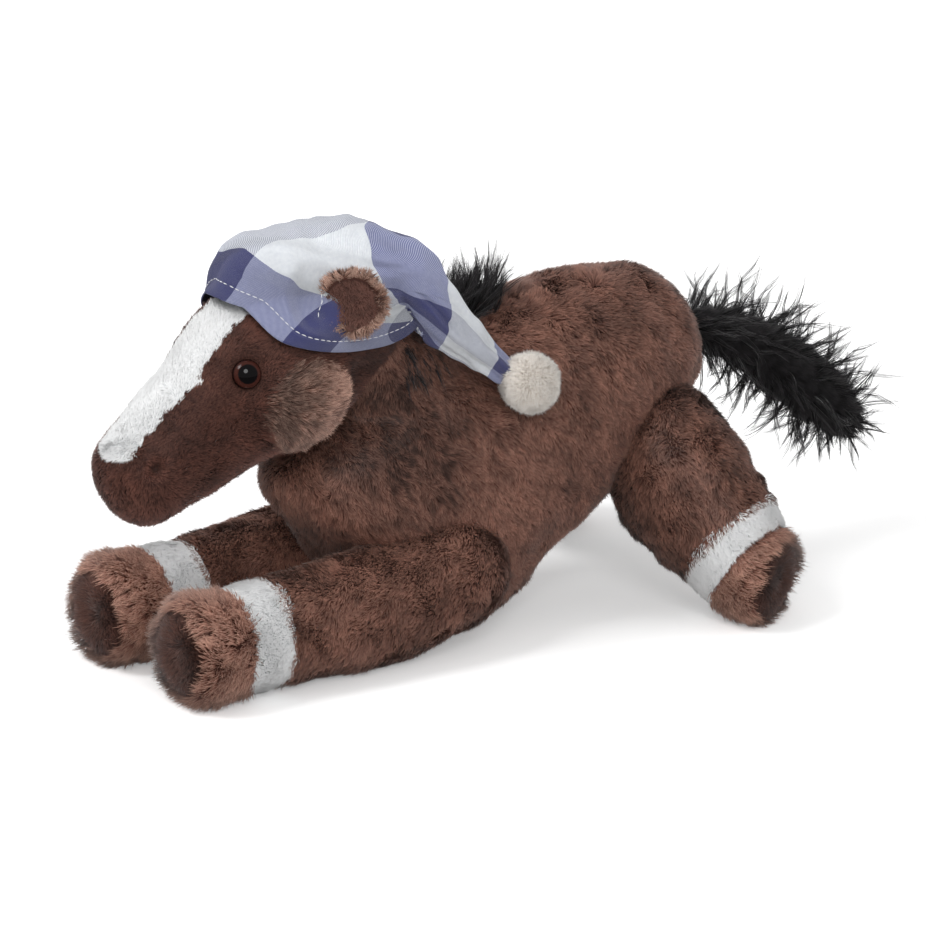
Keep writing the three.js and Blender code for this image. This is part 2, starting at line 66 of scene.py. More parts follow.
# Soft forms, as in the part: x, y, z, half width, reach up and reach down of each ring
TRUNK = [
    (0, -144, 114, 34, 34, 24),
    (0, -106, 105, 52, 58, 40),
    (0, -66, 99, 61, 78, 92),
    (0, -30, 101, 65, 88, 109.5),
    (0, 25, 118, 66, 82, 88),
    (0, 85, 137, 63, 72, 72),
    (0, 138, 139, 46, 62, 60),
    (0, 172, 134, 32, 44, 45),
]
NECK = [
    (0, -110, 227, 36, 36, 36),
    (0, -84, 196, 36, 36, 36),
    (0, -54, 160, 45, 51, 58),
    (0, -20, 118, 54, 58, 56),
]
HEAD = [
    (0, -62, 226, 42, 40, 40),
    (0, -104, 209, 47, 52, 54),
    (0, -148, 186, 46, 54, 56),
    (0, -190, 160, 38, 47, 42),
    (0, -228, 137, 34, 38, 33),
    (0, -262, 118, 28, 27, 26),
]
EAR = [
    (0, 0, 0, 11, 5, 5),
    (0, 11, 0, 16, 6, 5),
    (0, 23, -3, 16.5, 5, 5),
    (0, 34, -9, 12, 4, 4),
]
CAP = [
    (0, -42, 229, 46, 42, 44),
    (0, -98, 211, 51, 63, 58),
    (0, -124, 198.5, 51, 79, 59),
    (0, -150, 185, 50, 70, 60),
    (0, -190, 160, 42, 51, 46),
    (0, -228, 137, 38, 42, 37),
]
CAP_TAIL = [
    (-6, -90, 255, 12, 12, 12),
    (5, -82, 253, 14, 14, 14),
    (28, -76, 242, 18, 24, 22),
    (41, -62, 225, 13, 20, 18),
    (51, -43, 202, 9, 13, 12.5),
    (60, -18, 178, 7, 8, 8),
    (64, -10, 171, 7, 7, 7),
]
TAIL = [
    (0, 152, 160, 15, 15, 15),
    (0, 168, 157, 15, 15, 15),
    (0, 200, 146, 20, 20, 20),
    (0, 238, 122, 24, 24, 24),
    (0, 276, 90, 23, 23, 23),
    (0, 306, 62, 15, 15, 15),
]
FORELEG = [
    (40, -4, 54, 38, 38, 38),
    (44, -42, 48, 38, 40, 38),
    (49, -88, 40, 36, 38, 39),
    (49, -134, 37, 34, 36, 37),
    (47, -180, 35.5, 33, 34, 36),
    (46, -222, 34.5, 34, 34, 35),
    (46, -250, 34, 31, 31, 33),
]
HIND_LEG = [
    (12, 112, 118, 42, 42, 42),
    (40, 120, 98, 42, 45, 42),
    (68, 121, 72, 42, 50, 45),
    (95, 130, 50, 37, 40, 40),
    (114, 137, 35, 33, 33, 36),
    (138, 147, 30, 30, 30, 33),
]
BANDS = {"foreleg": (0.7, 0.81, 0.93), "hind_leg": (0.69, 0.8, 0.9)}  # shares of the leg's length
BLAZE = {"from": 0.42, "to": 0.92, "half": (16, 18.5, 14)}  # from the brim to the muzzle
EYE = {"along": 0.525, "turn": 0.09, "radius": 9, "dome": 6, "sink": 1.6}
EAR_AT = {"along": 0.245, "turn": 0.094, "up": (0.72, 0.68, 0.1), "facing": (0.68, -0.7, 0.22)}
EAR_DISH = {"at": 13.2, "radius": 15.5, "deep": 4.5}
POMPOM = {"at": (70, -1, 167), "radius": 18.5}
MANE = {"locks": 210, "y": (-46, 16), "wide": 5, "long": (22, 40), "longer_behind": 8}
MANE_SIDE = {"locks": 90, "y": (-74, -46), "z": (182, 206), "long": (18, 30)}
TAIL_HAIR = {"locks": 330, "long": (16, 46)}

# The brim as seen from the side, as y and z from the front to the back
BRIM = [
    (-181, 238), (-166, 217), (-149, 209), (-128, 204), (-107, 202),
    (-90, 202), (-74, 206), (-58, 213), (-45, 226),
]
CLOTH = {"around": 200, "crown_rows": 56, "tail_rows": 90, "thick": 0.9}
TAIL_ROOT = 18  # from this far down its path on, the cap's tail carries the cloth
CAP_INSIDE = np.array([0.0, -100.0, 205.0])
CHECK_COLUMNS = 6
CROWN_ROWS = 2  # rows of checks from the brim to the cap's tail
TAIL_ROWS = 2.4  # and from there to the pompom
# The distance round the brim, the column of checks there and how high its first row is
BRIM_CHECKS = [(0, 0.79, 46), (12, 1, 50), (60, 2, 60), (92, 3, 56), (140, 4, 46)]
HEM = 14  # from the brim's edge to its stitches
SLIT = [(38, -128, 250), (46, -134, 240), (49, -138, 228)]  # stitches in front of the ear


# Points and noise


def unit(vectors):
    return vectors / np.maximum(np.linalg.norm(vectors, axis=-1, keepdims=True), 1e-9)


def dots(a, b):
    return (a * b).sum(-1, keepdims=True)


def noise(points, size, seed):
    """A smooth random value at each point, about -2 to 2, that changes over the size."""
    draw = np.random.default_rng(seed)
    waves = unit(draw.normal(size=(16, 3))) * math.tau / size
    waves *= draw.uniform(0.5, 1.4, (16, 1))
    return np.sin(points @ waves.T + draw.uniform(0, math.tau, 16)).sum(1) / math.sqrt(8)


def noise_vector(points, size, seed):
    return np.stack([noise(points, size, seed + k) for k in range(3)], axis=1)


def smooth_step(low, high, values):
    t = np.clip((values - low) / (high - low), 0, 1)
    return t * t * (3 - 2 * t)


def hump(far, wide):
    """1 in the middle, falling off smoothly with the distance from it."""
    return np.exp(-((far / wide) ** 2))


def path_lengths(path):
    """How far along a line of points each of them lies."""
    return np.concatenate([[0], np.cumsum(np.linalg.norm(np.diff(path, axis=0), axis=1))])


def at_lengths(distance, lengths, table):
    """The rows of a table at some distances, where its own rows are at those lengths."""
    return np.stack([np.interp(distance, lengths, table[:, k]) for k in range(3)], axis=-1)


def place(points):
    """From the sizes' own millimetres to the part's metres."""
    return (points + SHIFT) * MM


def sided(points, side):
    """The left side's points, or their mirror images."""
    return points * np.array([side, 1, 1])


def through(points, centripetal):
    """A Catmull-Rom curve through the points, at STEPS + 1 even parameters."""
    p = np.vstack([2 * points[0] - points[1], points, 2 * points[-1] - points[-2]])
    at = np.linspace(0, len(points) - 1, STEPS + 1)
    first = np.minimum(at.astype(int), len(points) - 2)
    t = (at - first)[:, None]
    p0, p1, p2, p3 = (p[first + k] for k in range(4))
    if centripetal:
        pairs = ((p0, p1), (p1, p2), (p2, p3))
        d0, d1, d2 = (np.sqrt(np.linalg.norm(b - a, axis=1, keepdims=True)) for a, b in pairs)
        start = ((p1 - p0) / d0 - (p2 - p0) / (d0 + d1) + (p2 - p1) / d1) * d1
        end = ((p2 - p1) / d1 - (p3 - p1) / (d1 + d2) + (p3 - p2) / d2) * d1
    else:
        start, end = (p2 - p0) / 2, (p3 - p1) / 2
    squared = 3 * (p2 - p1) - 2 * start - end
    return p1 + start * t + squared * t**2 + (2 * (p1 - p2) + start + end) * t**3


# Forms


class Form:
    """A soft form swept along a curve through its stations, with rounded ends."""

    def __init__(self, stations, start, end):
        table = np.array(stations, float)
        self.start, self.end = start, end
        self.centres = through(table[:, :3], True)
        self.sizes = through(table[:, 3:], False)
        self.lengths = path_lengths(self.centres)
        self.total = self.lengths[-1]
        self.tangents = unit(np.gradient(self.centres, axis=0))
        self.sides = unit(np.cross(UP, self.tangents))
        self.rises = np.cross(self.tangents, self.sides)

    def at(self, distance, table):
        return at_lengths(np.clip(distance, 0, self.total), self.lengths, table)

    def share(self, distance, inset):
        """How wide the rounded ends leave the ring there, from 0 to 1."""

        def rounding(d, radius):
            return np.sqrt(np.clip(1 - np.clip(1 - d / radius, 0, 1) ** 2, 0, 1))

        from_end = self.total - inset - distance
        return rounding(distance - inset, self.start - inset) * rounding(from_end, self.end - inset)

    def point(self, distance, turn, inset=0.0):
        distance, turn = np.broadcast_arrays(np.asarray(distance, float), np.asarray(turn, float))
        size = self.at(distance, self.sizes)
        share = self.share(distance, inset)
        cos, sin = np.cos(math.tau * turn), np.sin(math.tau * turn)
        tall = np.where(sin > 0, size[..., 1], size[..., 2]) - inset
        side = self.at(distance, self.sides) * (cos * (size[..., 0] - inset) * share)[..., None]
        rise = self.at(distance, self.rises) * (sin * tall * share)[..., None]
        return self.at(distance, self.centres) + side + rise

    def skin_at(self, along, turn):
        """A place on the surface and the direction that faces out there."""
        d = along * self.total
        down = self.point(d + 0.5, turn) - self.point(d - 0.5, turn)
        round_ = self.point(d, turn + 0.01) - self.point(d, turn - 0.01)
        return self.point(d, turn), unit(np.cross(round_, down))

    def loft(self, rings, sides, inset=0.0, start=0.0, end=1.0):
        """The form's closed surface between two shares of its length."""
        first = max(start * self.total, inset)
        last = min(end * self.total, self.total - inset)
        steps = np.arange(0 if start > 0 else 1, rings + 1 if end < 1 else rings)
        d = first + (last - first) * (1 - np.cos(math.pi * steps / rings)) / 2
        grid = self.point(d[:, None], np.arange(sides)[None] / sides, inset)
        poles = self.at(np.array([first, last]), self.centres)
        return tube(grid, poles)

    def where(self, points):
        """How far along the path and how deep under the surface each point is, in millimetres."""
        along = np.empty(len(points))
        depth = np.empty(len(points))
        for i in range(0, len(points), 20000):
            p = points[i : i + 20000]
            near = np.argmin(((p[:, None] - self.centres[None]) ** 2).sum(2), axis=1)
            offset = p - self.centres[near]
            side, rise = dots(offset, self.sides[near])[:, 0], dots(offset, self.rises[near])[:, 0]
            size = self.sizes[near]
            tall = np.where(rise > 0, size[:, 1], size[:, 2])
            d = self.lengths[near] + dots(offset, self.tangents[near])[:, 0]
            reach = np.hypot(side / size[:, 0], rise / tall)
            along[i : i + 20000] = d
            depth[i : i + 20000] = (np.maximum(self.share(d, 0), 0.01) - reach) * np.minimum(size[:, 0], tall)
        return along, depth

    def flow(self, points):
        """The direction of the path beside each point."""
        along = self.where(points)[0]
        return unit(self.at(along, self.tangents))


def tube(grid, poles=()):
    """Points and faces of rings of points, closed at its ends where poles are given."""
    rings, sides = grid.shape[:2]
    verts = np.vstack([grid.reshape(-1, 3), *[np.reshape(pole, (1, 3)) for pole in poles]])
    last = (rings - 1) * sides
    faces = []
    for k in range(sides):
        n = (k + 1) % sides
        if len(poles):
            faces.append((last + sides, n, k))
            faces.append((last + sides + 1, last + k, last + n))
        faces += [(a + k, a + n, a + sides + n, a + sides + k) for a in range(0, last, sides)]
    return verts, faces


trunk = Form(TRUNK, 36, 40)
neck = Form(NECK, 36, 40)
head = Form(HEAD, 34, 24)
ear_form = Form(EAR, 5, 14)
cap_form = Form(CAP, 42, 20)
cap_tail = Form(CAP_TAIL, 12, 7)
tail = Form(TAIL, 15, 18)
legs = {"foreleg": Form(FORELEG, 38, 22), "hind_leg": Form(HIND_LEG, 42, 22)}


# Meshes


def added(name, data):
    """A new object of that data, in the scene."""
    obj = bpy.data.objects.new(name, data)
    bpy.context.scene.collection.objects.link(obj)
    return obj


def fill(items, name, values, kind=np.float32):
    """Sets one property of all the items."""
    items.foreach_set(name, values.astype(kind).ravel())


def tree_of(verts, faces):
    """The surface as a tree that rays can be cast at."""
    return BVHTree.FromPolygons([tuple(vert) for vert in verts], [tuple(face) for face in faces])


def make(name, verts, faces, side=LEFT):
    mesh = bpy.data.meshes.new(name)
    turned = faces if side == LEFT else [face[::-1] for face in faces]
    mesh.from_pydata(place(sided(np.asarray(verts), side)).tolist(), [], turned)
    mesh.update()
    mesh.shade_smooth()
    return added(name, mesh)


def baked(obj):
    """The object with its modifiers applied."""
    mesh = bpy.data.meshes.new_from_object(obj.evaluated_get(bpy.context.evaluated_depsgraph_get()))
    obj.modifiers.clear()
    old, obj.data = obj.data, mesh
    bpy.data.meshes.remove(old)
    return obj


def united(name, shapes, voxel):
    """Several closed surfaces as one, eased where they meet."""
    verts, faces = [], []
    for points, polygons in shapes:
        base = sum(len(v) for v in verts)
        verts.append(points)
        faces += [tuple(i + base for i in polygon) for polygon in polygons]
    obj = make(name, np.vstack(verts), faces)
    remesh = obj.modifiers.new("join", "REMESH")
    remesh.mode = "VOXEL"
    remesh.voxel_size = voxel * MM
    ease = obj.modifiers.new("ease", "SMOOTH")
    ease.iterations = 12
    return baked(obj)


def dressed(obj, body, slot, material, *nodes):
    obj.data.materials.clear()
    obj.data.materials.append(material)
    if body:
        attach(obj, body)
    if nodes:
        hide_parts(*nodes)
    return obj


class Skin:
    """A surface's points, triangles and outward normals, in millimetres.

    The triangles at the points to skip, which are counted from the last one, are left out."""

    def __init__(self, obj, skip=()):
        self.mesh = obj.data
        self.mesh.calc_loop_triangles()
        self.points = self.read(self.mesh.vertices, "co") / MM - SHIFT
        self.normals = self.read(self.mesh.vertices, "normal")
        corners = np.empty(len(self.mesh.loop_triangles) * 3, np.int32)
        self.mesh.loop_triangles.foreach_get("vertices", corners)
        corners = corners.reshape(-1, 3)
        skipped = np.isin(corners, [len(self.points) + k for k in skip])
        self.corners = corners[~skipped.any(axis=1)]

    def read(self, items, name):
        values = np.empty(len(items) * 3)
        items.foreach_get(name, values)
        return values.reshape(-1, 3)

    def pushed(self, heights, low=0.8):
        """Moves the points along their normals, and keeps them off the floor."""
        points = self.points + self.normals * heights[:, None]
        points[:, 2] = np.maximum(points[:, 2], low)
        fill(self.mesh.vertices, "co", place(points))
        self.mesh.update()
        self.mesh.shade_smooth()

    def scattered(self, per_mm2, draw):
        """Random places on the surface, and their normals."""
        a, b, c = (self.points[self.corners[:, k]] for k in range(3))
        areas = np.linalg.norm(np.cross(b - a, c - a), axis=1) / 2
        count = int(areas.sum() * per_mm2)
        chosen = np.searchsorted(np.cumsum(areas), draw.random(count) * areas.sum())
        chosen = np.minimum(chosen, len(areas) - 1)
        u, v = draw.random((2, count, 1))
        flip = u + v > 1
        u, v = np.where(flip, 1 - u, u), np.where(flip, 1 - v, v)
        mix = [table[self.corners[chosen]] for table in (self.points, self.normals)]
        places, normals = (m[:, 0] * (1 - u - v) + m[:, 1] * u + m[:, 2] * v for m in mix)
        return places, unit(normals)


def stuffed(obj, deep=0.8, size=45, forms=()):
    """Lumps of stuffing, and the given bulges and dents: places, radii and heights."""
    skin = Skin(obj)
    heights = deep * (noise(skin.points, size, 3) - 0.5)
    for at, radius, height in forms:
        for side in SIDES.values():
            far = np.linalg.norm(skin.points - sided(np.array(at, float), side), axis=1)
            heights = heights + height * hump(far, radius)
    skin.pushed(heights)
    return obj


def creased(obj, form, side, creases):
    """Folds across a leg, each with a swelling on both sides."""
    skin = Skin(obj)
    points = sided(skin.points, side)
    along = form.where(points)[0] + 4 * noise(points, 60, 9)
    heights = np.zeros(len(points))
    for share, deep, wide in creases:
        far = (along - share * form.total) / wide
        strong = smooth_step(-1.2, 0.8, noise(points, 70, 7))
        heights += deep * strong * (0.5 * hump(far, 2.2) - 1.2 * hump(far, 1))
    skin.pushed(heights)


# Materials


class Nodes:
    """A small helper for a material's node tree."""

    def __init__(self, name):
        self.material = bpy.data.materials.new(name)
        self.material.use_nodes = True
        self.tree = self.material.node_tree
        self.shader = self.tree.nodes["Principled BSDF"]
        self.output = self.tree.nodes["Material Output"]

    def add(self, kind, inputs=None, **settings):
        node = self.tree.nodes.new(kind)
        for key, value in settings.items():
            setattr(node, key, value)
        for key, value in (inputs or {}).items():
            self.set(node.inputs[key], value)
        return node

    def set(self, socket, value):
        if isinstance(value, bpy.types.NodeSocket):
            self.tree.links.new(value, socket)
        else:
            socket.default_value = value

    def math(self, operation, *values):
        node = self.add("ShaderNodeMath", operation=operation)
        for socket, value in zip(node.inputs, values):
            self.set(socket, value)
        return node.outputs[0]

    def mix(self, factor, a, b, blend="MIX"):
        node = self.add("ShaderNodeMix", data_type="RGBA", blend_type=blend)
        for socket, value in zip((node.inputs[0], node.inputs[6], node.inputs[7]), (factor, a, b)):
            self.set(socket, value)
        return node.outputs[2]

    def ramp(self, factor, stops):
        node = self.add("ShaderNodeValToRGB", {"Fac": factor})
        elements = node.color_ramp.elements
        while len(elements) < len(stops):
            elements.new(0.5)
        for element, (position, shade) in zip(elements, stops):
            element.position = position
            element.color = shade
        return node.outputs["Color"]

    def noise(self, scale, detail=2.0):
        node = self.add("ShaderNodeTexNoise", {"Scale": scale, "Detail": detail})
        self.set(node.inputs["Vector"], self.add("ShaderNodeTexCoord").outputs["Object"])
        return node.outputs["Fac"]

    def map(self, name):
        uv = self.add("ShaderNodeUVMap", uv_map=name).outputs["UV"]
        split = self.add("ShaderNodeSeparateXYZ", {"Vector": uv})
        return split.outputs["X"], split.outputs["Y"]

    def bump(self, height, distance):
        node = self.add("ShaderNodeBump", {"Height": height, "Distance": distance})
        self.set(self.shader.inputs["Normal"], node.outputs["Normal"])

    def finish(self, **values):
        names = {"base": "Base Color", "roughness": "Roughness", "specular": "Specular IOR Level"}
        names |= {"sheen": "Sheen Weight", "sheen_roughness": "Sheen Roughness"}
        names |= {"coat": "Coat Weight", "coat_roughness": "Coat Roughness"}
        for key, value in values.items():
            self.set(self.shader.inputs[names[key]], value)
        return self.material


def colour(red, green, blue):
    """A colour given in sRGB bytes, as Blender's linear one."""

    def linear(byte):
        c = byte / 255
        return c / 12.92 if c <= 0.04045 else ((c + 0.055) / 1.055) ** 2.4

    return (linear(red), linear(green), linear(blue), 1.0)


def grey(value):
    return (value, value, value, 1.0)


BLACK, WHITE = grey(0.0), grey(1.0)
INDIGO = colour(66, 69, 122)
PALE = colour(240, 243, 246)
HAZE = colour(150, 160, 230)  # tints the pale columns where dark rows cross them


def fur_material(name, root, middle, tip, spread=0.5, roughness=0.6):
    """Hair painted darker towards its root, as painted shade deep in the pile, and lighter towards its tip,
    as painted backscattered light, with a tone that is partly its own and partly painted shade and sheen;
    both are read from the fur's map.
    """
    n = Nodes(name)
    across, along = n.map("OFBake")
    shade = n.ramp(along, [(0.0, colour(*root)), (0.5, colour(*middle)), (1.0, colour(*tip))])
    tone = n.ramp(across, [(0.0, grey(1 - spread)), (1.0, grey(1 + spread))])
    base = n.mix(1.0, shade, tone, "MULTIPLY")
    return n.finish(base=base, roughness=roughness, specular=0.3, sheen=0.2, sheen_roughness=0.5)


def backing_material(name, shade):
    """The knitted ground under the pile."""
    n = Nodes(name)
    base = colour(*shade)
    speckle = n.noise(900, 3)
    dark = tuple(c * 0.6 for c in base[:3]) + (1,)
    n.bump(speckle, 0.0008)
    return n.finish(base=n.mix(speckle, dark, base), roughness=0.9, specular=0.2)


def eye_material():
    """A black pupil in a red-brown ring, by the distance from the eye's middle."""
    n = Nodes("eye")
    out, _ = n.map("radius")
    flecks = n.mix(n.noise(1400, 3), colour(32, 13, 10), colour(76, 36, 27))
    ring = n.mix(n.ramp(out, [(0.62, BLACK), (0.7, WHITE)]), colour(7, 5, 6), flecks)
    base = n.mix(n.ramp(out, [(0.86, BLACK), (0.95, WHITE)]), ring, colour(24, 10, 8))
    matte = n.ramp(out, [(0.66, grey(0.05)), (0.76, grey(0.24))])
    return n.finish(base=base, roughness=matte, specular=0.25)


def check_material():
    """A gingham in a two-and-one twill: the rows' threads float over the columns'."""
    n = Nodes("check")
    across, along = n.map("cloth")

    def odd(value):
        return n.math("GREATER_THAN", n.math("FRACT", n.math("MULTIPLY", value, 0.5)), 0.5)

    def threads(odd_one):
        return n.mix(odd_one, PALE, INDIGO)

    rows = threads(n.math("SUBTRACT", 1.0, odd(along)))
    columns = threads(n.math("SUBTRACT", 1.0, odd(across)))
    per_square = 46
    slope = n.math("MULTIPLY", n.math("ADD", across, along), per_square)
    picks = n.math("FRACT", n.math("MULTIPLY", along, 2 * per_square))
    floats = n.math("FRACT", slope)
    strong, weak = grey(0.9), grey(0.34)
    shown = n.ramp(floats, [(0.0, weak), (0.12, strong), (0.56, strong), (0.76, weak)])
    dark_rows = n.math("MULTIPLY", n.math("SUBTRACT", 1.0, odd(along)), odd(across))
    woven = n.mix(n.math("MULTIPLY", dark_rows, 0.25), n.mix(shown, columns, rows), HAZE)
    slub = n.mix(n.noise(420, 4), colour(226, 228, 233), WHITE)
    base = n.mix(1.0, woven, slub, "MULTIPLY")
    relief = n.math("MULTIPLY", n.math("SINE", n.math("MULTIPLY", picks, math.pi)), n.math("ADD", shown, 0.6))
    n.bump(relief, 0.0002)
    return n.finish(base=base, roughness=0.85, specular=0.2, sheen=0.25, sheen_roughness=0.5)


def thread_material():
    n = Nodes("thread")
    twist = n.noise(2500, 2)
    n.bump(twist, 0.0002)
    base = n.mix(twist, colour(214, 216, 222), colour(246, 247, 249))
    return n.finish(base=base, roughness=0.7, specular=0.3, sheen=0.2)


fur_brown = fur_material("fur_brown", (90, 56, 46), (114, 75, 62), (158, 116, 99), 0.75, roughness=0.48)
fur_face = fur_material("fur_face", (54, 28, 21), (84, 48, 38), (116, 73, 59), 0.6)
# the cheek's fur is lighter than the face's with painted sheen of its fanned pile
fur_cheek = fur_material("fur_cheek", (70, 42, 33), (116, 79, 66), (196, 158, 140), 0.6)
fur_hoof = fur_material("fur_hoof", (80, 47, 38), (140, 95, 80), (212, 167, 146))
fur_sole = fur_material("fur_sole", (44, 22, 17), (74, 43, 34), (106, 68, 55))
fur_white = fur_material("fur_white", (242, 244, 245), (252, 253, 253), (255, 255, 255), 0.03)
fur_cream = fur_material("fur_cream", (232, 216, 200), (250, 240, 228), (254, 250, 244), 0.06)
fur_black = fur_material("fur_black", (6, 5, 6), (17, 14, 16), (42, 38, 41), roughness=0.42)
fur_tan = fur_material("fur_tan", (84, 52, 43), (150, 112, 96), (204, 172, 154))
fur_ear = fur_material("fur_ear", (50, 27, 22), (96, 60, 50), (128, 88, 76))
back_brown = backing_material("back_brown", (94, 62, 53))
back_white = backing_material("back_white", (244, 246, 247))
back_cream = backing_material("back_cream", (240, 226, 208))
back_black = backing_material("back_black", (16, 14, 16))
eye_glass = eye_material()
check_cloth = check_material()
white_thread = thread_material()


# Fur


def blades(name, paths, normals, wide, tones, sides=2, soft=0.6, twist=0.6, seed=5):
    """Tapered blades along the paths, shaped (blades, points, 3), whose last point is the tip.

    With 2 sides a blade is flat, and with 3 it is a spike."""
    count, points = paths.shape[:2]
    rings = points - 1
    corners = sides * rings + 1
    way = unit(paths[:, -1] - paths[:, 0])
    across = unit(np.cross(way, normals) + 1e-6)
    turn = np.random.default_rng(seed).normal(0, twist, (count, 1))
    across = across * np.cos(turn) + np.cross(way, across) * np.sin(turn)
    facing = np.cross(across, way)
    taper = wide[:, None, None] / 2 * (1 - 0.75 * (np.arange(rings) / rings) ** 2)[None, :, None]
    verts = np.empty((count, corners, 3))
    for side, angle in enumerate(np.radians((180, 0) if sides == 2 else (210, 330, 90))):
        offset = across * math.cos(angle) + facing * math.sin(angle)
        verts[:, side:-1:sides] = paths[:, :-1] + offset[:, None] * taper
    verts[:, -1] = paths[:, -1]
    verts[..., 2] = np.maximum(verts[..., 2], 0.2)

    tip = corners - 1
    faces = []
    for left, right in [(0, 1)] if sides == 2 else [(1, 0), (2, 1), (0, 2)]:
        for k in range(0, tip - sides, sides):
            faces.append((k + left, k + right, k + sides + right, k + sides + left))
        faces.append((tip - sides + left, tip - sides + right, tip))
    loops = np.concatenate(faces)
    sizes = np.array([len(face) for face in faces])
    starts = np.concatenate([[0], np.cumsum(sizes)[:-1]])
    blade = np.arange(count)[:, None]

    mesh = bpy.data.meshes.new(name)
    mesh.vertices.add(count * corners)
    fill(mesh.vertices, "co", place(verts))
    mesh.loops.add(count * len(loops))
    fill(mesh.loops, "vertex_index", blade * corners + loops, np.int32)
    mesh.polygons.add(count * len(faces))
    fill(mesh.polygons, "loop_start", blade * len(loops) + starts, np.int32)
    mesh.update(calc_edges=True)

    cell = np.clip((tones * TONES).astype(int), 0, TONES - 1)[:, None]
    uv = np.empty((count, corners, 2))
    uv[..., 0] = (cell + np.append(np.tile(np.linspace(0.1, 0.9, sides), rings), 0.5)) / TONES
    uv[..., 1] = np.append(np.repeat(np.arange(rings) / rings, sides), 1.0)
    fill(mesh.uv_layers.new(name="OFBake").data, "uv", uv[:, loops])

    shade = unit(normals * soft + np.cross(across, way) * (1 - soft) + way * 0.2)
    attribute = mesh.attributes.new("custom_normal", "FLOAT_VECTOR", "POINT")
    fill(attribute.data, "vector", np.repeat(shade, corners, axis=0))
    return added(name, mesh)


class Coat:
    """How a pile grows.

    lean is how far a hair's tip leans for its height, comb where it leans, and wander how far that strays.
    clump is the spacing of the tufts that the tips are pulled into, and light is a tone added to the coat,
    which on the neck, face and cheek is painted shade, painted highlights and painted sheen. Streaks of tone
    along the comb are painted sheen.
    comb, long and light may be functions of the hairs' roots."""

    def __init__(self, slot, material, **changes):
        self.slot, self.material = slot, material
        self.density, self.long, self.wide = 2.6, 5.4, 0.48
        self.lean, self.comb, self.wander, self.swirl = 1.35, (0, 1, -0.6), 0.42, 26.0
        self.clump, self.pull, self.light, self.patch, self.fuzz = 4.0, 0.12, 0.0, 0.09, 0.14
        self.fleck, self.soft, self.twist, self.sides = 0.1, 0.78, 0.5, 2
        for name, value in changes.items():
            setattr(self, name, value)

    def value(self, setting, roots):
        return setting(roots) if callable(setting) else np.array(setting, float)

    def hairs(self, roots, normals, draw):
        """The hairs' paths and tones."""
        count = len(roots)
        stray = 0.65 * noise_vector(roots, self.swirl, 11) + 0.35 * noise_vector(roots, self.swirl / 2.5, 21)
        way = unit(self.value(self.comb, roots)) + self.wander * stray
        way = unit(way - normals * dots(way, normals))
        uneven = 1 + 0.16 * noise(roots, self.swirl, 31) + 0.2 * draw.normal(size=count)
        flat = self.lean * np.clip(uneven, 0.4, 2.4)
        length = np.clip(1 + 0.08 * noise(roots, 12, 41) + 0.14 * draw.normal(size=count), 0.45, 1.6)
        length = length * self.value(self.long, roots)
        tips = normals + way * flat[:, None] + self.fuzz * draw.normal(size=(count, 3))
        tips = unit(tips) * length[:, None]

        tufts = draw.choice(count, max(1, int(count / (self.density * self.clump**2))), replace=False)
        tree = KDTree(len(tufts))
        for k, i in enumerate(tufts):
            tree.insert(roots[i], k)
        tree.balance()
        own = tufts[[tree.find(root)[1] for root in roots]]
        share = self.pull * draw.uniform(0.4, 1.2, (count, 1))
        tips = tips + share * (roots[own] + tips[own] * 1.05 - roots - tips)
        reach = np.minimum(np.linalg.norm(tips, axis=1), 1.25 * length)[:, None]
        tips = unit(tips) * reach

        middle = tips * 0.5 + normals * 0.16 * reach
        paths = np.stack([roots - 0.4 * normals, roots + middle, roots + tips], axis=1)
        tone = 0.5 + self.patch * (0.7 * noise(roots, 60, 51) + 0.7 * noise(roots, 20, 52))
        # Painted sheen: streaks of tone stretched along the comb stand in for the highlights of the crushed
        # pile.
        main = unit(way.mean(0))
        sheen_streaks = roots + 3 * noise_vector(roots, 22, 65)
        sheen_streaks = sheen_streaks - 0.7 * main * dots(sheen_streaks, main)
        tone = tone + self.fleck * noise(sheen_streaks, 4, 61) + 0.065 * draw.normal(size=count)
        return paths, tone + self.value(self.light, roots)


def grow(name, skin, body, coat, nodes=(), keep=None, seed=1):
    """A coat's pile on a skin, in pieces of no more than MOST_TRIANGLES."""
    draw = np.random.default_rng(seed)
    roots, normals = skin.scattered(coat.density, draw)
    if keep is not None:
        kept = keep(roots)
        roots, normals = roots[kept], normals[kept]
    paths, tone = coat.hairs(roots, normals, draw)
    wide = coat.wide * draw.uniform(0.7, 1.3, len(roots))
    order = np.argsort(roots[:, 1], kind="stable")
    parts = np.array_split(order, math.ceil(len(order) * HAIR_TRIANGLES[coat.sides] / MOST_TRIANGLES))
    for k, part in enumerate(parts):
        label = f"{name}_{k + 1}" if len(parts) > 1 else name
        settings = coat.sides, coat.soft, coat.twist, seed
        fur = blades(label, paths[part], normals[part], wide[part], tone[part], *settings)
        dressed(fur, body, coat.slot, coat.material, *nodes)


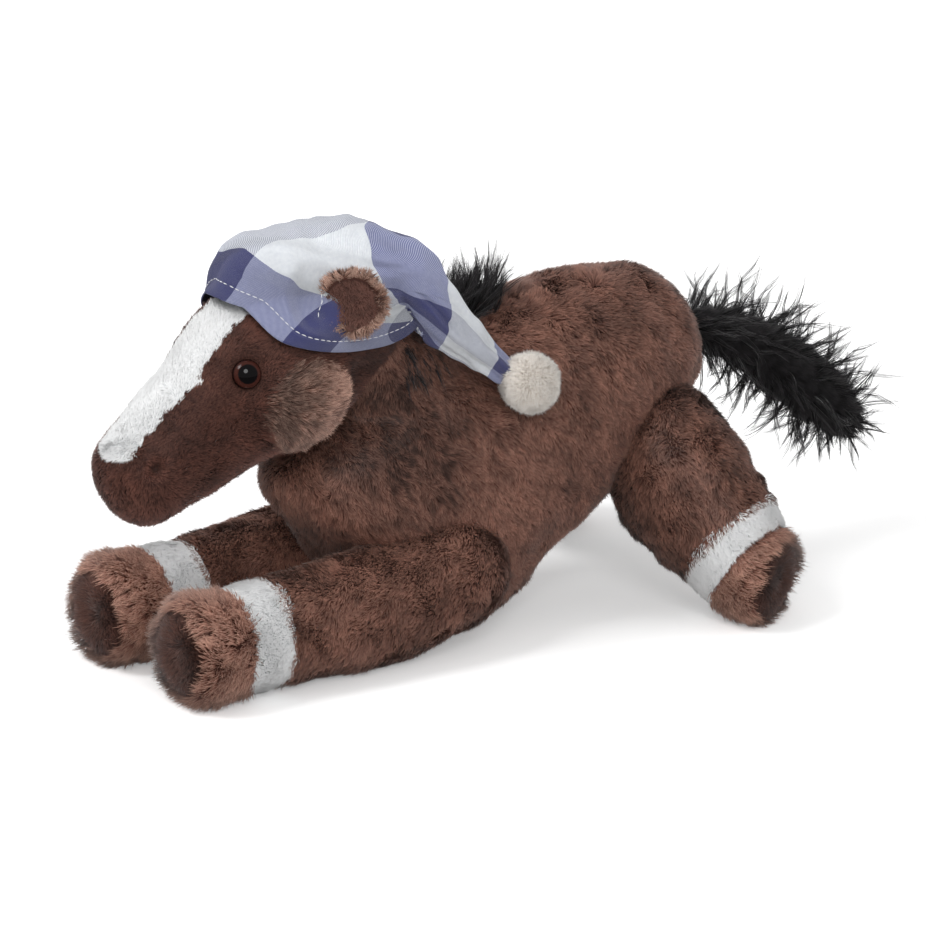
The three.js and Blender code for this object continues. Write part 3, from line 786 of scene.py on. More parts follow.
def locks(name, roots, ways, lengths, body, nodes=(), strands=16, spread=2.2, curl=0.25, wide=0.38, seed=1):
    """Long hair in locks that narrow to their tips."""
    draw = np.random.default_rng(seed)
    count, points = len(roots), 7
    t = np.linspace(0, 1, points)[None, :, None]
    ways = unit(ways)
    bend = unit(np.cross(ways, draw.normal(size=(count, 3)))) * curl * draw.uniform(0.4, 1.6, (count, 1))
    wave = 0.035 * np.sin(math.tau * (1.6 * t + draw.random((count, 1, 1)))) * t
    bent = ways[:, None] * t + bend[:, None] * t**2 + np.roll(bend, 1, 1)[:, None] * wave * 4
    spines = np.repeat(roots[:, None] + lengths[:, None, None] * bent, strands, axis=0)
    total = count * strands
    offset = draw.normal(size=(total, 1, 3)) * spread
    scale = draw.uniform(0.7, 1.05, (total, 1, 1))
    first = spines[:, :1]
    narrowing = (0.25 + 0.75 * (1 - t) ** 1.5) * np.minimum(1, 0.4 + 2 * t)
    paths = first + (spines - first) * scale + offset * narrowing
    normals = unit(np.repeat(ways, strands, axis=0) * 0.3 + offset[:, 0] + 0.4 * UP)
    tone = 0.5 + 0.22 * draw.normal(size=total)
    fur = blades(name, paths, normals, wide * draw.uniform(0.7, 1.3, total), tone, seed=seed)
    return dressed(fur, body, "pile_black", fur_black, *nodes)


def clear_of(*tests):
    """A test that keeps the points that pass every one of these."""

    def keep(points):
        kept = np.ones(len(points), bool)
        for test in tests:
            kept &= test(points)
        return kept

    return keep


def outside(form, deeper=6.0, both=False):
    """A test that keeps the points that don't lie deeper than that in the form, or in its mirror image."""
    low, high = (form.centres - form.sizes.max()).min(0), (form.centres + form.sizes.max()).max(0)

    def test_one(points):
        kept = np.ones(len(points), bool)
        close = ((points > low) & (points < high)).all(axis=1)
        kept[close] = form.where(points[close])[1] < deeper
        return kept

    def test(points):
        return test_one(points) & test_one(sided(points, RIGHT)) if both else test_one(points)

    return test


def over_brim(points):
    """How far each point lies over the cap's brim as seen from the side."""
    y, z = through(np.array(BRIM, float), False).T
    return points[:, 2] - np.interp(points[:, 1], y, z, left=400, right=z[-1])


def bare(points):
    return over_brim(points) < 3


# Body


def neck_painted_shade(points):
    """Painted shade on the neck's sides, under the head."""
    far = np.linalg.norm((points - np.array([0, -70, 152])) * np.array([0.2, 1, 1]), axis=1)
    return -0.42 * hump(far, 40)


brown = Coat("plush_brown", fur_brown, comb=(0, 0.45, -1), light=neck_painted_shade)
body_skin = united("body_skin", [trunk.loft(48, 48, PILE), neck.loft(36, 40, PILE)], 3.0)
stuffed(body_skin)
dressed(body_skin, "torso", "plush_brown", back_brown, "body_cover", "body_filling")
beside_legs = [outside(leg, both=True) for leg in legs.values()]
body_part = clear_of(bare, outside(head), *beside_legs)
grow("body_fur", Skin(body_skin), "torso", brown, ["body_cover"], body_part, 2)


# Legs


LEG_LIGHT = {"foreleg": 0.06, "hind_leg": -0.1}
LAP = 0.005  # how far a leg's sewn parts reach under each other, as a share of its length
LONG_PILE = {"hoof": 2.0, "sole": 2.0}  # how much deeper the skin lies there
# Each fold's place along the leg, depth and width
LEG_FOLDS = {"foreleg": [(0.6, 1.6, 5)], "hind_leg": [(0.5, 3.0, 6), (0.62, 1.6, 4)]}


def leg_coats(kind, side):
    """The pile of a leg's cover, band, hoof and sole."""
    form = legs[kind]
    top, _, sole = BANDS[kind]
    end = sided(form.centres[-1], side)

    def own(points):
        return sided(points, side)

    def flow(points):
        return sided(form.flow(own(points)), side)

    def down_flow(points):
        return 0.8 * flow(points) - 0.5 * UP

    def outwards(points):
        return flow(points) * 0.4 + unit(points - end)

    def ruffled(points):
        return 7.5 + 4.5 * smooth_step(top * form.total, sole * form.total, form.where(own(points))[0])

    cover = Coat("plush_brown", fur_brown, comb=down_flow, light=LEG_LIGHT[kind])
    band = Coat(
        "plush_white", fur_white, comb=flow, long=4.4, lean=1.1, density=3.6, wide=0.55, sides=3,
        clump=3, pull=0.05, patch=0.02, fleck=0.02, fuzz=0.18, soft=0.97,
    )
    hoof = Coat(
        "plush_hoof", fur_hoof, comb=flow, long=ruffled, lean=0.8, density=2.4, wide=0.5, sides=3,
        clump=5, pull=0.3, fuzz=0.22, fleck=0.1, soft=0.85, light=0.1,
    )
    pad = Coat(
        "plush_sole", fur_sole, comb=outwards, long=6.5, lean=0.7, density=2.4, sides=3,
        clump=4, fuzz=0.2,
    )
    return cover, band, hoof, pad


def make_leg(kind, label):
    form, side = legs[kind], SIDES[label]
    name = f"{label}_{kind}"
    top, low, sole = BANDS[kind]
    cover, band, hoof, pad = leg_coats(kind, side)
    coats = {
        "cover": (0, top + 2 * LAP, back_brown, cover),
        "band": (top - LAP, low + LAP, back_white, band),
        "hoof": (low - LAP, sole + 2 * LAP, back_brown, hoof),
        "sole": (sole, 1, back_brown, pad),
    }
    in_trunk = outside(trunk, 7)
    middle, facing = form.at(np.array(form.total), form.centres), form.tangents[-1]
    dent = middle - 4 * facing
    for k, (piece, (start, stop, backing, coat)) in enumerate(coats.items()):
        loft = form.loft(26, 48, PILE + LONG_PILE.get(piece, 0), start, stop)
        obj = make(f"{name}_{piece}_skin", *loft, side)
        stuffed(obj, 0.7, 38, [(dent, 13, -4)] if piece == "sole" else ())
        if piece == "cover":
            creased(obj, form, side, LEG_FOLDS[kind])
        nodes = [f"{name}_{piece}"] + ([f"{name}_filling"] if piece == "cover" else [])
        dressed(obj, name, coat.slot, backing, *nodes)

        flat_ends = [-2] * (start > 0) + [-1] * (stop < 1)
        kept = in_trunk if piece == "cover" else None
        grow(f"{name}_{piece}_fur", Skin(obj, flat_ends), name, coat, nodes[:1], kept, 10 + k)


for kind in legs:
    for label in SIDES:
        make_leg(kind, label)


# Head

eye_at, eye_out = head.skin_at(EYE["along"], EYE["turn"])
nostril = (25.4, -243.6, 145.7)
HEAD_SHAPES = [
    ((42, -146, 173), 24, 6.5),  # cheek
    ((46, -106, 182), 16, -6.0),  # behind the cheek
    ((26, -186, 205), 14, 2.0),  # brow
    (tuple(eye_at), 9, -2.5),  # socket
    ((30, -188, 172), 20, -3.0),  # hollow before the cheek
    (nostril, 4.5, -4.5),
    ((30, -236, 140), 18, 2.0),  # muzzle
]


def blaze_depth(points):
    """How far inside the blaze's outline each point of the face is, in millimetres."""
    start = head.at(np.array(BLAZE["from"] * head.total), head.centres)
    span = head.at(np.array(BLAZE["to"] * head.total), head.centres) - start
    length = np.linalg.norm(span)
    along = (points - start) @ (span / length)
    facing = np.cross(span / length, [1, 0, 0])
    half = np.interp(along, [0, 0.4 * length, length], BLAZE["half"])
    round_end = 10
    past = np.maximum(along - (length - round_end), 0)
    wide = half - round_end + np.sqrt(np.clip(round_end**2 - past**2, 0, None))
    inner = np.minimum(wide - np.abs(points[:, 0]), length - along)
    edge = inner + 0.9 * noise(points, 9, 77)
    return np.where((points - start) @ facing > 0, edge, -50)


def gap_to(spot):
    """A function that gives how far points are from a spot or its mirror image, whichever is nearer."""
    spots = [sided(np.array(spot), side) for side in SIDES.values()]
    return lambda points: np.minimum(*[np.linalg.norm(points - at, axis=1) for at in spots])


near_eye, near_nostril = gap_to(eye_at), gap_to(nostril)


def cheek(points):
    """From 0 on the face to 1 on the cheek, where the pile is long, combed outwards and lighter with painted
    sheen.
    """
    far = np.hypot(points[:, 1] + 145, points[:, 2] - 170)
    return smooth_step(35, 22, far) * smooth_step(12, 24, np.abs(points[:, 0]))


def face_comb(points):
    back = -head.flow(points)
    fan = points - np.array([0, -184, 178])
    fan[:, 0] = 0
    share = cheek(points)[:, None]
    tip = smooth_step(head.total - 45, head.total - 14, head.where(points)[0])[:, None]
    return (back * (1 - tip) - UP * tip) * (1 - share) + unit(fan) * share


def face_length(points):
    long = 3.9 + 5 * cheek(points)
    long = long * (0.35 + 0.65 * smooth_step(8, 18, near_eye(points)))
    return long * (0.45 + 0.55 * smooth_step(3, 8, near_nostril(points)))


def face_painted_light(points):
    # Painted shade in the nostril, round the eye and behind the cheek, a painted backlit highlight along the
    # jaw's lower edge, and a lighter ring round the nostril.
    dark = 0.7 * smooth_step(4.5, 2, near_nostril(points)) + 0.12 * smooth_step(20, 9, near_eye(points))
    rim = 0.4 * hump(near_nostril(points) - 6, 1.6)
    return 0.9 * jaw(points) + rim - dark - 0.35 * smooth_step(-122, -112, points[:, 1])


def jaw(points):
    """From 0 on the face to 1 along the lower edge of the jaw, where a painted backlit highlight goes."""
    along = head.where(points)[0]
    offset = points - head.at(along, head.centres)
    low = -dots(offset, head.at(along, head.rises))[:, 0] / head.at(along, head.sizes)[:, 2]
    return smooth_step(0.45, 0.85, low)


def cheek_painted_sheen(points):
    """Painted sheen: lighter the nearer the cheek's outer edge, where the fanned pile catches the light."""
    return 0.85 * smooth_step(22, 66, np.hypot(points[:, 1] + 184, points[:, 2] - 178)) - 0.5


def blaze_panel(surface):
    """The white panel, cut from the head's surface along the blaze's outline."""
    inside = blaze_depth(surface.points) > -0.5
    faces = [list(p.vertices) for p in surface.mesh.polygons if inside[list(p.vertices)].all()]
    used = sorted({i for face in faces for i in face})
    new = {old: k for k, old in enumerate(used)}
    verts = surface.points[used] + surface.normals[used] * 0.7
    panel = make("blaze_skin", verts, [tuple(new[i] for i in face) for face in faces])
    dressed(panel, "head", "plush_white", back_white, "blaze")


def make_head():
    skin = make("head_skin", *head.loft(110, 110, PILE))
    stuffed(skin, 0.5, 40, HEAD_SHAPES)
    dressed(skin, "head", "plush_brown", back_brown, "head_cover", "head_filling")
    surface = Skin(skin)
    blaze_panel(surface)

    face = Coat(
        "plush_brown", fur_face, comb=face_comb, long=face_length, light=face_painted_light,
        density=3.4, wide=0.45, lean=0.9, clump=3, pull=0.12, fuzz=0.2, patch=0.08, fleck=0.08,
    )
    fanned = Coat(
        "plush_brown", fur_cheek, comb=face_comb, long=face_length, light=cheek_painted_sheen,
        density=3.4, wide=0.45, lean=1.1, wander=0.25, clump=4, pull=0.28, fuzz=0.16, fleck=0.2,
    )
    white = Coat(
        "plush_white", fur_white, comb=face_comb, long=3.8, density=3.2, wide=0.5, lean=0.7, sides=3,
        clump=3, pull=0.12, patch=0.04, fleck=0.03, fuzz=0.18, soft=0.95,
    )
    brown_part = clear_of(bare, lambda p: blaze_depth(p) < 0, lambda p: near_eye(p) > 9, outside(neck, 8))
    white_part = clear_of(bare, lambda p: blaze_depth(p) > -0.6)

    def light_part(points):
        return cheek(points) + 0.2 * np.clip(noise(points, 2.5, 36), -1.5, 1.5) > 0.5

    face_part = clear_of(brown_part, lambda p: ~light_part(p))
    grow("head_fur", surface, "head", face, ["head_cover"], face_part, 31)
    grow("cheek_fur", surface, "head", fanned, ["head_cover"], clear_of(brown_part, light_part), 33)
    grow("blaze_fur", surface, "head", white, ["blaze"], white_part, 32)


def make_eye(label):
    """A dome on the eye's button, mapped by the distance from its middle."""
    side = SIDES[label]
    rings, sides = 16, 40
    back = eye_at - eye_out * EYE["sink"]
    across = unit(np.cross(eye_out, UP))
    over = np.cross(across, eye_out)
    turn = np.arange(sides)[None] / sides * math.tau
    slope = (np.arange(rings)[:, None] + 0.5) / rings * math.pi / 2
    radius = EYE["radius"] * np.sin(slope)
    height = EYE["dome"] * np.cos(slope) + 0.2
    ring = across * np.cos(turn)[..., None] + over * np.sin(turn)[..., None]
    grid = back + ring * radius[..., None] + eye_out * height[..., None]
    verts, faces = tube(grid, [back + eye_out * (EYE["dome"] + 0.2), back])
    obj = make(f"{label}_eye_dome", verts, faces, side)
    layer = obj.data.uv_layers.new(name="radius")
    out = np.append(np.repeat(np.sin(slope[:, 0]), sides), [0.0, 1.0])
    for loop in obj.data.loops:
        layer.data[loop.index].uv = (out[loop.vertex_index], 0.5)
    dressed(obj, "head", "eye_gloss", eye_glass, f"{label}_eye", f"{label}_eye_washer")


make_head()
for label in SIDES:
    make_eye(label)


# Ears


def ear_axes():
    along = unit(np.array(EAR_AT["up"]))
    facing = np.array(EAR_AT["facing"])
    facing = unit(facing - along * (facing @ along))
    root = head.skin_at(EAR_AT["along"], EAR_AT["turn"])[0]
    return root, np.array([np.cross(along, facing), along, facing])


def from_dish(points):
    """How far points in the ear's own axes are from its dish's middle, as a share of the dish's size."""
    radius = EAR_DISH["radius"]
    return np.hypot(points[:, 0] / radius, (points[:, 1] - EAR_DISH["at"]) / (radius + 1))


def make_ear(label):
    side = SIDES[label]
    root, axes = ear_axes()

    def inward(points):
        """From the scene to the ear's own axes."""
        return (sided(points, side) - root) @ axes.T

    def outward(vectors):
        return sided(vectors @ axes, side)

    verts, faces = ear_form.loft(30, 48, 1.6)
    verts = verts * np.array([1.16, 1.14, 1]) - np.array([0, 6, 0])
    dish = EAR_DISH["deep"] * np.exp(-(from_dish(verts) ** 4))
    verts[:, 2] -= np.where(verts[:, 2] > -3, dish, 0)
    obj = make(f"{label}_ear_skin", verts @ axes + root, faces, side)
    nodes = [f"{label}_ear", f"{label}_ear_lining"]
    dressed(obj, f"{label}_ear", "plush_brown", back_brown, *nodes)
    skin = Skin(obj)

    def lining(points):
        own = inward(points)
        return (from_dish(own) < 0.95) & (own[:, 2] > -6)

    def from_middle(points):
        own = inward(points) - np.array([0, EAR_DISH["at"], 0])
        return outward(own * np.array([1, 1, 0.3]))

    rim = Coat(
        "plush_brown", fur_tan, comb=from_middle, long=5.6, lean=1.0, density=4.5, wide=0.4,
        clump=3, pull=0.12, fuzz=0.3, wander=0.7, swirl=8, fleck=0.16,
    )
    dark = Coat(
        "ear_dark", fur_ear, comb=(0.3, 0.3, -1), long=3.4, lean=1.0, density=5, wide=0.4,
        clump=3, fuzz=0.2,
    )
    grow(f"{label}_ear_fur", skin, f"{label}_ear", rim, nodes[:1], lambda p: ~lining(p), 41)
    grow(f"{label}_ear_lining_fur", skin, f"{label}_ear", dark, nodes[1:], lining, 42)


for label in SIDES:
    make_ear(label)


# Cap


def brim_loop(around):
    """Places round the brim from its front, the left side first, with the column of checks and the height of
    its first row at each, and the crown as a tree."""
    form = tree_of(*cap_form.loft(80, 96))
    half = []
    for y, z in through(np.array(BRIM, float), True):
        hit = form.ray_cast((0, y, z), (1, 0, 0))[0]
        half.append((hit.x if hit else 0.0, y, z))
    half = np.array(half)
    half[[0, -1], 0] = 0
    loop = np.vstack([half, sided(half, RIGHT)[-2::-1]])
    lengths = path_lengths(loop)
    at = np.arange(around) / around * lengths[-1]
    _, column, height = BRIM_CHECKS[0]
    arcs, columns, heights = zip(*BRIM_CHECKS, (lengths[-1], column + CHECK_COLUMNS, height))
    return at_lengths(at, lengths, loop), np.interp(at, arcs, columns), np.interp(at, arcs, heights), form


def cap_turn(column):
    """Which turn of the cap's tail a column of checks runs down."""
    return 0.38 + (column - 1) / CHECK_COLUMNS


def tail_turn(points, along):
    """The turn round the cap's tail at which each point lies."""
    offset = points - cap_tail.at(along, cap_tail.centres)
    side, rise = (dots(offset, cap_tail.at(along, table))[:, 0] for table in (cap_tail.sides, cap_tail.rises))
    return np.arctan2(rise, side) / math.tau


def cap_grid(around, crown_rows, tail_rows):
    """The cap's cloth, one ring to a row, from the brim over the crown to the pompom."""
    brim, columns, heights, form = brim_loop(around)
    leaves = cap_tail.centres[np.argmax((cap_form.where(cap_tail.centres)[1] < 0) & (cap_tail.lengths > 20))]
    starts, end = unit(brim - CAP_INSIDE), unit(leaves - CAP_INSIDE)
    angle = np.arccos(np.clip(dots(starts, end), -1, 1))

    def over(share):
        ways = (np.sin((1 - share) * angle) * starts + np.sin(share * angle) * end) / np.sin(angle)
        hits = [form.ray_cast(tuple(CAP_INSIDE), tuple(way))[0] for way in ways]
        return np.array([tuple(hit) if hit else tuple(spot) for hit, spot in zip(hits, brim)])

    shares = np.linspace(0, 1, 41)
    tries = np.array([over(share) for share in shares])
    along, depth = cap_tail.where(tries.reshape(-1, 3))
    entered = ((depth > 0) & (along > TAIL_ROOT)).reshape(len(shares), around)
    entered[-1] = True
    meets = shares[np.argmax(entered, axis=0)][:, None]
    crown = np.array([over(meets * row / crown_rows) for row in range(crown_rows)])

    first = over(meets)
    d = np.maximum(cap_tail.where(first)[0], TAIL_ROOT)
    turn = tail_turn(first, d)
    turn = turn - np.round(turn - cap_turn(columns))
    share = np.linspace(0, 1, tail_rows + 1)[:, None]
    turns = turn + (cap_turn(columns) - turn) * smooth_step(0, 0.5, share)
    tail_part = cap_tail.point(d + (cap_tail.total - 1 - d) * share, turns)
    return np.vstack([crown, tail_part]), columns, heights, turns


def eased(grid, near, rounds):
    """The grid smoothed without shrinking, by how near each row is."""
    for _ in range(rounds):
        for step in (0.6, -0.61):
            middle = (np.roll(grid, 1, 1) + np.roll(grid, -1, 1)) / 4
            middle[1:-1] += (grid[:-2] + grid[2:]) / 4
            grid[1:-1] += step * near[1:-1] * (middle[1:-1] - grid[1:-1])
    return grid


def spread_rows(grid, last):
    """The grid with the rows down to the last of these spread evenly along each column."""
    for k in range(grid.shape[1]):
        column = grid[: last + 1, k].copy()
        lengths = path_lengths(column) + np.arange(last + 1) * 1e-6
        grid[: last + 1, k] = at_lengths(np.linspace(0, lengths[-1], last + 1), lengths, column)
    return grid


def grid_normals(grid):
    round_ = np.roll(grid, -1, 1) - np.roll(grid, 1, 1)
    down = np.gradient(grid, axis=0)
    return unit(np.cross(round_, down))


def cloth_map(obj, around, columns, rows):
    """Maps the cloth by its columns and rows of checks."""
    layer = obj.data.uv_layers.new(name="cloth")
    columns = np.hstack([columns, columns[:, :1] + CHECK_COLUMNS])
    for polygon in obj.data.polygons:
        loops = list(polygon.loop_indices)
        spots = [obj.data.loops[i].vertex_index for i in loops]
        at = [(s // around, s % around) for s in spots]
        wraps = max(k for _, k in at) - min(k for _, k in at) > 1
        for i, (row, k) in zip(loops, at):
            layer.data[i].uv = (columns[row, around if wraps and k == 0 else k], rows[row, k])


def folds(grid, far, turns, crown_rows):
    """How far the cloth's folds stand out from its even shape."""
    rows, around = grid.shape[:2]
    flat = grid.reshape(-1, 3)
    sway = noise(flat, 46, 71).reshape(rows, around)
    ripple = noise(flat, 17, 72).reshape(rows, around)
    row = np.arange(rows)[:, None]
    meeting = hump(row - crown_rows, 9)
    pucker = np.sin(np.arange(around) / around * math.tau * 11 + 2.5 * sway) * meeting
    seam = -0.6 * hump(far - HEM, 1.2) + 0.5 * (1 - smooth_step(HEM - 1, HEM + 0.5, far))
    height = 0.4 + (0.9 * sway + 0.35 * ripple) * smooth_step(0, 20, far) + 0.9 * pucker + seam

    down = np.clip((row - crown_rows) / (rows - 1 - crown_rows), 0, 1)
    turn = np.vstack([np.repeat(turns[:1], crown_rows, axis=0), turns])
    ridge = np.sin(math.tau * (4 * turn + 0.5 * down + 0.1 * np.sin(9 * down)))
    fine = np.sin(math.tau * (9 * turn - 0.8 * down))
    height = height + (1.3 * ridge + 0.5 * fine) * smooth_step(0.02, 0.3, down)
    lap = turn - (0.44 + 0.12 * down)
    deep = smooth_step(-0.06, 0.04, down) * smooth_step(0.55, 0.3, down)
    return height + deep * (2.4 * hump(lap + 0.05, 0.045) - 3 * hump(lap, 0.018))


def hugging(grid, far):
    """How far the cloth is drawn in to the head near its brim and round the ears."""
    gap = -head.where(grid.reshape(-1, 3))[1].reshape(far.shape) - 3.0
    hugs = np.clip(gap, 0, 8) * smooth_step(34, 4, far) * smooth_step(-78, -104, grid[..., 1])
    ear_root = head.skin_at(EAR_AT["along"], EAR_AT["turn"])[0]
    for side in SIDES.values():
        beside = np.linalg.norm(grid - sided(ear_root + np.array([2, -6, 2]), side), axis=2)
        hugs = np.maximum(hugs, np.clip(gap, 0, 12) * smooth_step(27, 15, beside))
    return hugs


def check_rows(far, total, heights):
    """The row of checks that each point of the cloth is in."""
    first = np.minimum(heights, 0.66 * total)
    past = CROWN_ROWS - 1
    crown = np.where(far < first, far / first, 1 + past * (far - first) / np.maximum(total - first, 1e-6))
    share = (far - total) / (far[-1] - total)
    return np.where(far > total, CROWN_ROWS + TAIL_ROWS * share, crown)


def make_cap():
    around, crown_rows = CLOTH["around"], CLOTH["crown_rows"]
    grid, columns, heights, turns = cap_grid(around, crown_rows, CLOTH["tail_rows"])
    row = np.arange(len(grid))[:, None, None]
    grid = spread_rows(grid, crown_rows + 12)
    grid = eased(grid, hump(row - crown_rows, 15), 160)
    normals = grid_normals(grid)
    steps = np.linalg.norm(np.diff(grid, axis=0), axis=2)
    far = np.concatenate([np.zeros((1, around)), np.cumsum(steps, axis=0)])

    hugs = hugging(grid, far)
    grid = grid + normals * (folds(grid, far, turns, crown_rows) - hugs)[..., None]
    total = far[crown_rows]
    checks = check_rows(far, total, heights)

    obj = make("cap_cloth", *tube(grid))
    cloth_map(obj, around, columns + np.clip(far / total, 0, 1), checks)
    thick = obj.modifiers.new("cloth", "SOLIDIFY")
    thick.thickness = CLOTH["thick"] * MM
    thick.offset = -1
    baked(obj)
    obj.data.shade_smooth()
    dressed(obj, None, "check_blue", check_cloth, "cap_crown", "cap_tail")
    normals = grid_normals(grid)
    seams = [sew_hem(grid, normals, far), *sew_slits(grid)]
    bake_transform(obj)


def sew_hem(grid, normals, far):
    """Stitches of thread round the hem."""
    around = grid.shape[1]
    line, out = [], []
    for k in range(around + 1):
        k = k % around
        row = np.interp(HEM, far[:, k], np.arange(len(far)))
        low, share = int(row), row - int(row)
        line.append(grid[low, k] * (1 - share) + grid[low + 1, k] * share)
        out.append(normals[low, k])
    return stitches("cap_hem_stitches", np.array(line), np.array(out))


def sew_slits(grid):
    """Stitches down the front edge of each slit that an ear comes through."""
    tree = tree_of(*tube(grid))
    lines, outs = [], []
    for side in SIDES.values():
        path = sided(through(np.array(SLIT, float), True)[::8], side)
        found = [tree.find_nearest(tuple(point)) for point in path]
        lines.append(np.array([tuple(hit[0]) for hit in found]))
        outs.append(np.array([tuple(hit[1]) for hit in found]))
    return [stitches(f"{label}_slit_stitches", *pair) for label, *pair in zip(SIDES, lines, outs)]


def stitches(name, line, out, long=3.0, gap=1.2, wide=0.6):
    """Short raised stitches of thread along a line."""
    lengths = path_lengths(line)

    def at(distance, table):
        return at_lengths(distance, lengths, table)

    verts, faces = [], []
    for start in np.arange(0, lengths[-1] - long, long + gap):
        base = len(verts)
        for share in (0, 0.25, 0.5, 0.75, 1):
            middle, up = at(start + share * long, line), unit(at(start + share * long, out))
            ahead = unit(at(start + share * long + 0.3, line) - at(start + share * long - 0.3, line))
            across = np.cross(ahead, up)
            swell = wide / 2 * (0.45 + 0.55 * math.sin(math.pi * share))
            lift = 0.15 + 0.25 * math.sin(math.pi * share)
            for k in range(6):
                turn = math.tau * k / 6
                verts.append(middle + across * swell * math.cos(turn) + up * (lift + swell * math.sin(turn)))
        for ring in range(4):
            a = base + 6 * ring
            faces += [(a + k, a + (k + 1) % 6, a + 6 + (k + 1) % 6, a + 6 + k) for k in range(6)]
        faces += [tuple(base + k for k in range(5, -1, -1)), tuple(base + 24 + k for k in range(6))]
    return dressed(make(name, verts, faces), "head", "check_blue", white_thread)


make_cap()


# Pompom, tail and mane


def make_pompom():
    middle, radius = np.array(POMPOM["at"], float), POMPOM["radius"] - 5
    turn = np.arange(40)[None] / 40 * math.tau
    slope = (np.arange(22)[:, None] + 0.5) / 22 * math.pi
    ring = np.sin(slope)
    grid = np.stack([ring * np.cos(turn), ring * np.sin(turn), np.cos(slope) + 0 * turn], axis=-1)
    poles = [middle + radius * UP, middle - radius * UP]
    obj = make("pompom_core", *tube(middle + radius * grid[:, ::-1], poles))
    dressed(obj, "pompom", "pompom_cream", back_cream, "pompom")
    wool = Coat(
        "pompom_cream", fur_cream, comb=(0, 0, -1), long=6.0, lean=0.35, wander=1.0, swirl=12, density=7,
        wide=0.45, clump=2.4, pull=0.08, fuzz=0.4, patch=0.04, fleck=0.03, soft=0.95, sides=3,
    )
    grow("pompom_fur", Skin(obj), "pompom", wool, ["pompom"], seed=51)


def make_tail():
    skin = make("tail_skin", *tail.loft(40, 32, 11))
    dressed(skin, "tail", "pile_black", back_black, "tail_cover", "tail_filling")
    short = Coat(
        "pile_black", fur_black, comb=tail.flow, long=11, lean=1.3, density=2.2, wide=0.5,
        clump=5, pull=0.5, fuzz=0.3,
    )
    grow("tail_fur", Skin(skin), "tail", short, ["tail_cover"], outside(trunk, 8), 61)
    draw = np.random.default_rng(62)
    count = TAIL_HAIR["locks"]
    d = tail.total * (0.06 + 0.9 * draw.random(count))
    turn = draw.random(count)
    roots = tail.point(d, turn, 10)
    out = unit(roots - tail.at(d, tail.centres))
    ways = out + tail.flow(roots) * draw.uniform(0.2, 0.6, (count, 1)) + 0.15 * UP
    lengths = draw.uniform(*TAIL_HAIR["long"], count) * (1 - 0.35 * smooth_step(0.7, 1, d / tail.total))
    nodes = ["tail_cover"]
    locks("tail_locks", roots, ways, lengths, "tail", nodes, spread=1.7, curl=0.45, wide=0.36, seed=63)


def make_mane():
    """Spikes of hair along the crest, and some that hang down the neck's left side."""
    draw = np.random.default_rng(71)
    body = Skin(body_skin)
    tree = tree_of(body.points, body.corners.tolist())
    count = MANE["locks"]
    y = draw.uniform(*MANE["y"], count)
    x = draw.normal(0, MANE["wide"], count)
    roots = np.array([tuple(tree.ray_cast((a, b, 260), (0, 0, -1))[0]) for a, b in zip(x, y)])
    roots[:, 2] -= 2
    ways = np.stack([0.05 * x, 0.3 + 0.2 * draw.normal(size=count), np.ones(count)], axis=1)
    ways = ways + 0.14 * draw.normal(size=(count, 3))
    lengths = draw.uniform(*MANE["long"], count)
    lengths = lengths + MANE["longer_behind"] * smooth_step(-30, 0, y)
    locks("mane_locks", roots, ways, lengths, "torso", ["mane"], seed=72)

    count = MANE_SIDE["locks"]
    heights, y = draw.uniform(*MANE_SIDE["z"], count), draw.uniform(*MANE_SIDE["y"], count)
    hits = [tree.ray_cast((90, a, b), (-1, 0, 0))[0] for a, b in zip(y, heights)]
    roots = np.array([tuple(hit) for hit in hits if hit]) - np.array([1.5, 0, 0])
    ways = np.array([0.4, 0.3, -1]) + 0.2 * draw.normal(size=roots.shape)
    lengths = draw.uniform(*MANE_SIDE["long"], len(roots))
    locks("mane_side_locks", roots, ways, lengths, "torso", strands=14, curl=0.2, seed=73)


make_pompom()
make_tail()
make_mane()


# Camera, light and floor

AZIMUTH, ELEVATION = math.radians(55), math.radians(18)
DISTANCE = 5.0
SENSOR = 36
VIEW_WIDE = 0.5766  # metres across the frame at the horse
AIM_UP = 0.0911  # the frame's middle stands this far over the point under the chest
WORLD_LIGHT, WORLD_GLOSS = 0.72, 0.35  # how bright the surroundings are, and how bright gloss shows them
SUNS = {"key": (1.25, 38, -12), "fill": (0.75, 56, 62)}  # strength, tilt and turn
SUN_SPREAD = 22
FLOOR = 30  # half its side


def add_camera():
    sin_a, cos_a = math.sin(AZIMUTH), math.cos(AZIMUTH)
    sin_e, cos_e = math.sin(ELEVATION), math.cos(ELEVATION)
    back = Vector((sin_a * cos_e, -cos_a * cos_e, sin_e))
    rise = Vector((-sin_a * sin_e, cos_a * sin_e, cos_e))
    data = bpy.data.cameras.new("camera")
    data.sensor_width = SENSOR
    data.lens = SENSOR * DISTANCE / VIEW_WIDE
    data.clip_end = 100
    camera = added("camera", data)
    camera.location = Vector(SHIFT * MM) + rise * AIM_UP + back * DISTANCE
    camera.rotation_euler = back.to_track_quat("Z", "Y").to_euler()
    bpy.context.scene.camera = camera


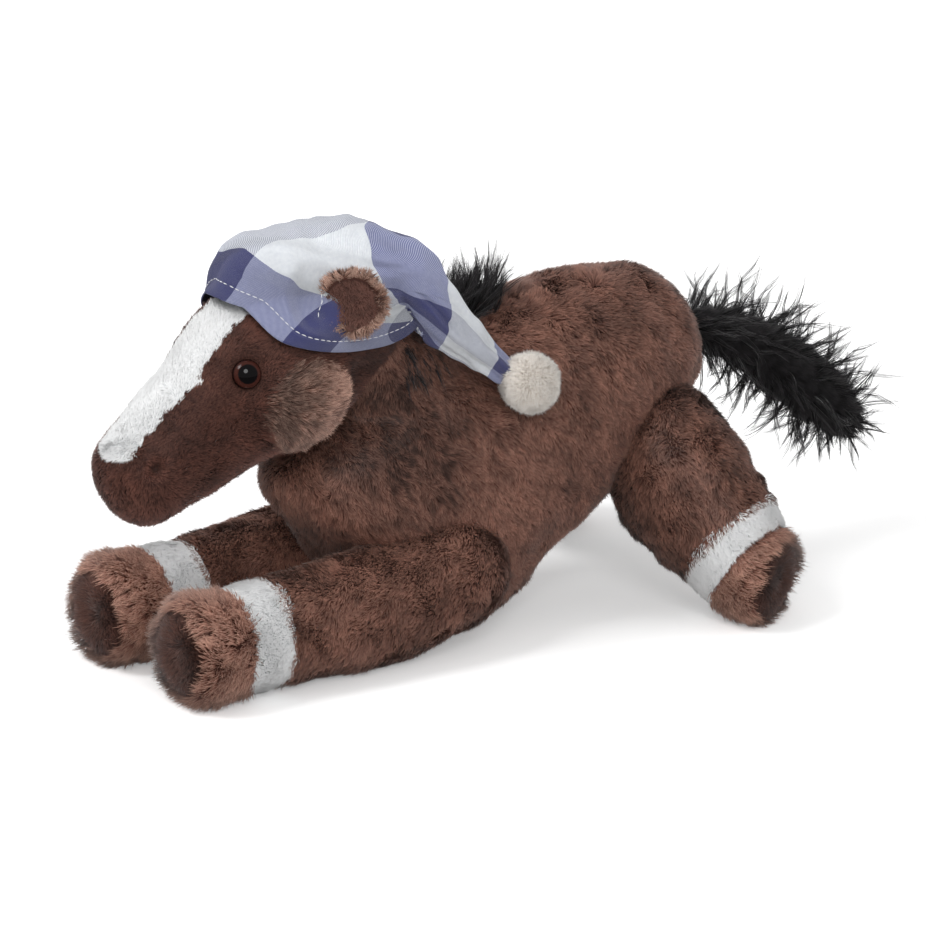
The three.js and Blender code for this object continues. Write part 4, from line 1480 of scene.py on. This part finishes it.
def add_suns():
    for name, (energy, tilt, turn) in SUNS.items():
        sun = bpy.data.lights.new(name, "SUN")
        sun.energy = energy
        sun.angle = math.radians(SUN_SPREAD)
        lamp = added(name, sun)
        lamp.rotation_euler = (math.radians(tilt), 0, math.radians(turn))


def add_world():
    """White to the camera, and less bright to the object and to gloss."""
    world = bpy.data.worlds.new("studio")
    bpy.context.scene.world = world
    world.use_nodes = True
    tree = world.node_tree
    background = tree.nodes["Background"]
    background.inputs["Color"].default_value = WHITE
    path = tree.nodes.new("ShaderNodeLightPath")
    level = tree.nodes.new("ShaderNodeMapRange")
    level.inputs["To Min"].default_value = WORLD_LIGHT
    level.inputs["To Max"].default_value = 1.0
    tree.links.new(path.outputs["Is Camera Ray"], level.inputs["Value"])
    glossy = tree.nodes.new("ShaderNodeMath")
    glossy.operation = "MULTIPLY_ADD"
    tree.links.new(path.outputs["Is Glossy Ray"], glossy.inputs[0])
    glossy.inputs[1].default_value = WORLD_GLOSS - WORLD_LIGHT
    tree.links.new(level.outputs["Result"], glossy.inputs[2])
    tree.links.new(glossy.outputs[0], background.inputs["Strength"])


def add_floor():
    mesh = bpy.data.meshes.new("floor")
    corners = [(-FLOOR, -FLOOR, 0), (FLOOR, -FLOOR, 0), (FLOOR, FLOOR, 0), (-FLOOR, FLOOR, 0)]
    mesh.from_pydata(corners, [], [(0, 1, 2, 3)])
    floor = added("floor", mesh)
    n = Nodes("floor")
    path = n.add("ShaderNodeLightPath")
    base = n.mix(path.outputs["Is Glossy Ray"], grey(0.9), grey(0.12))
    n.finish(base=base, roughness=0.9, specular=0.0)
    glow = n.add("ShaderNodeEmission", {"Color": WHITE})
    n.set(glow.inputs["Strength"], n.math("MULTIPLY", path.outputs["Is Camera Ray"], 0.3))
    both = n.add("ShaderNodeAddShader")
    n.set(both.inputs[0], n.shader.outputs[0])
    n.set(both.inputs[1], glow.outputs[0])
    n.set(n.output.inputs["Surface"], both.outputs[0])
    mesh.materials.append(n.material)


add_camera()
add_suns()
add_world()
add_floor()
bpy.context.scene.view_settings.view_transform = "Standard"
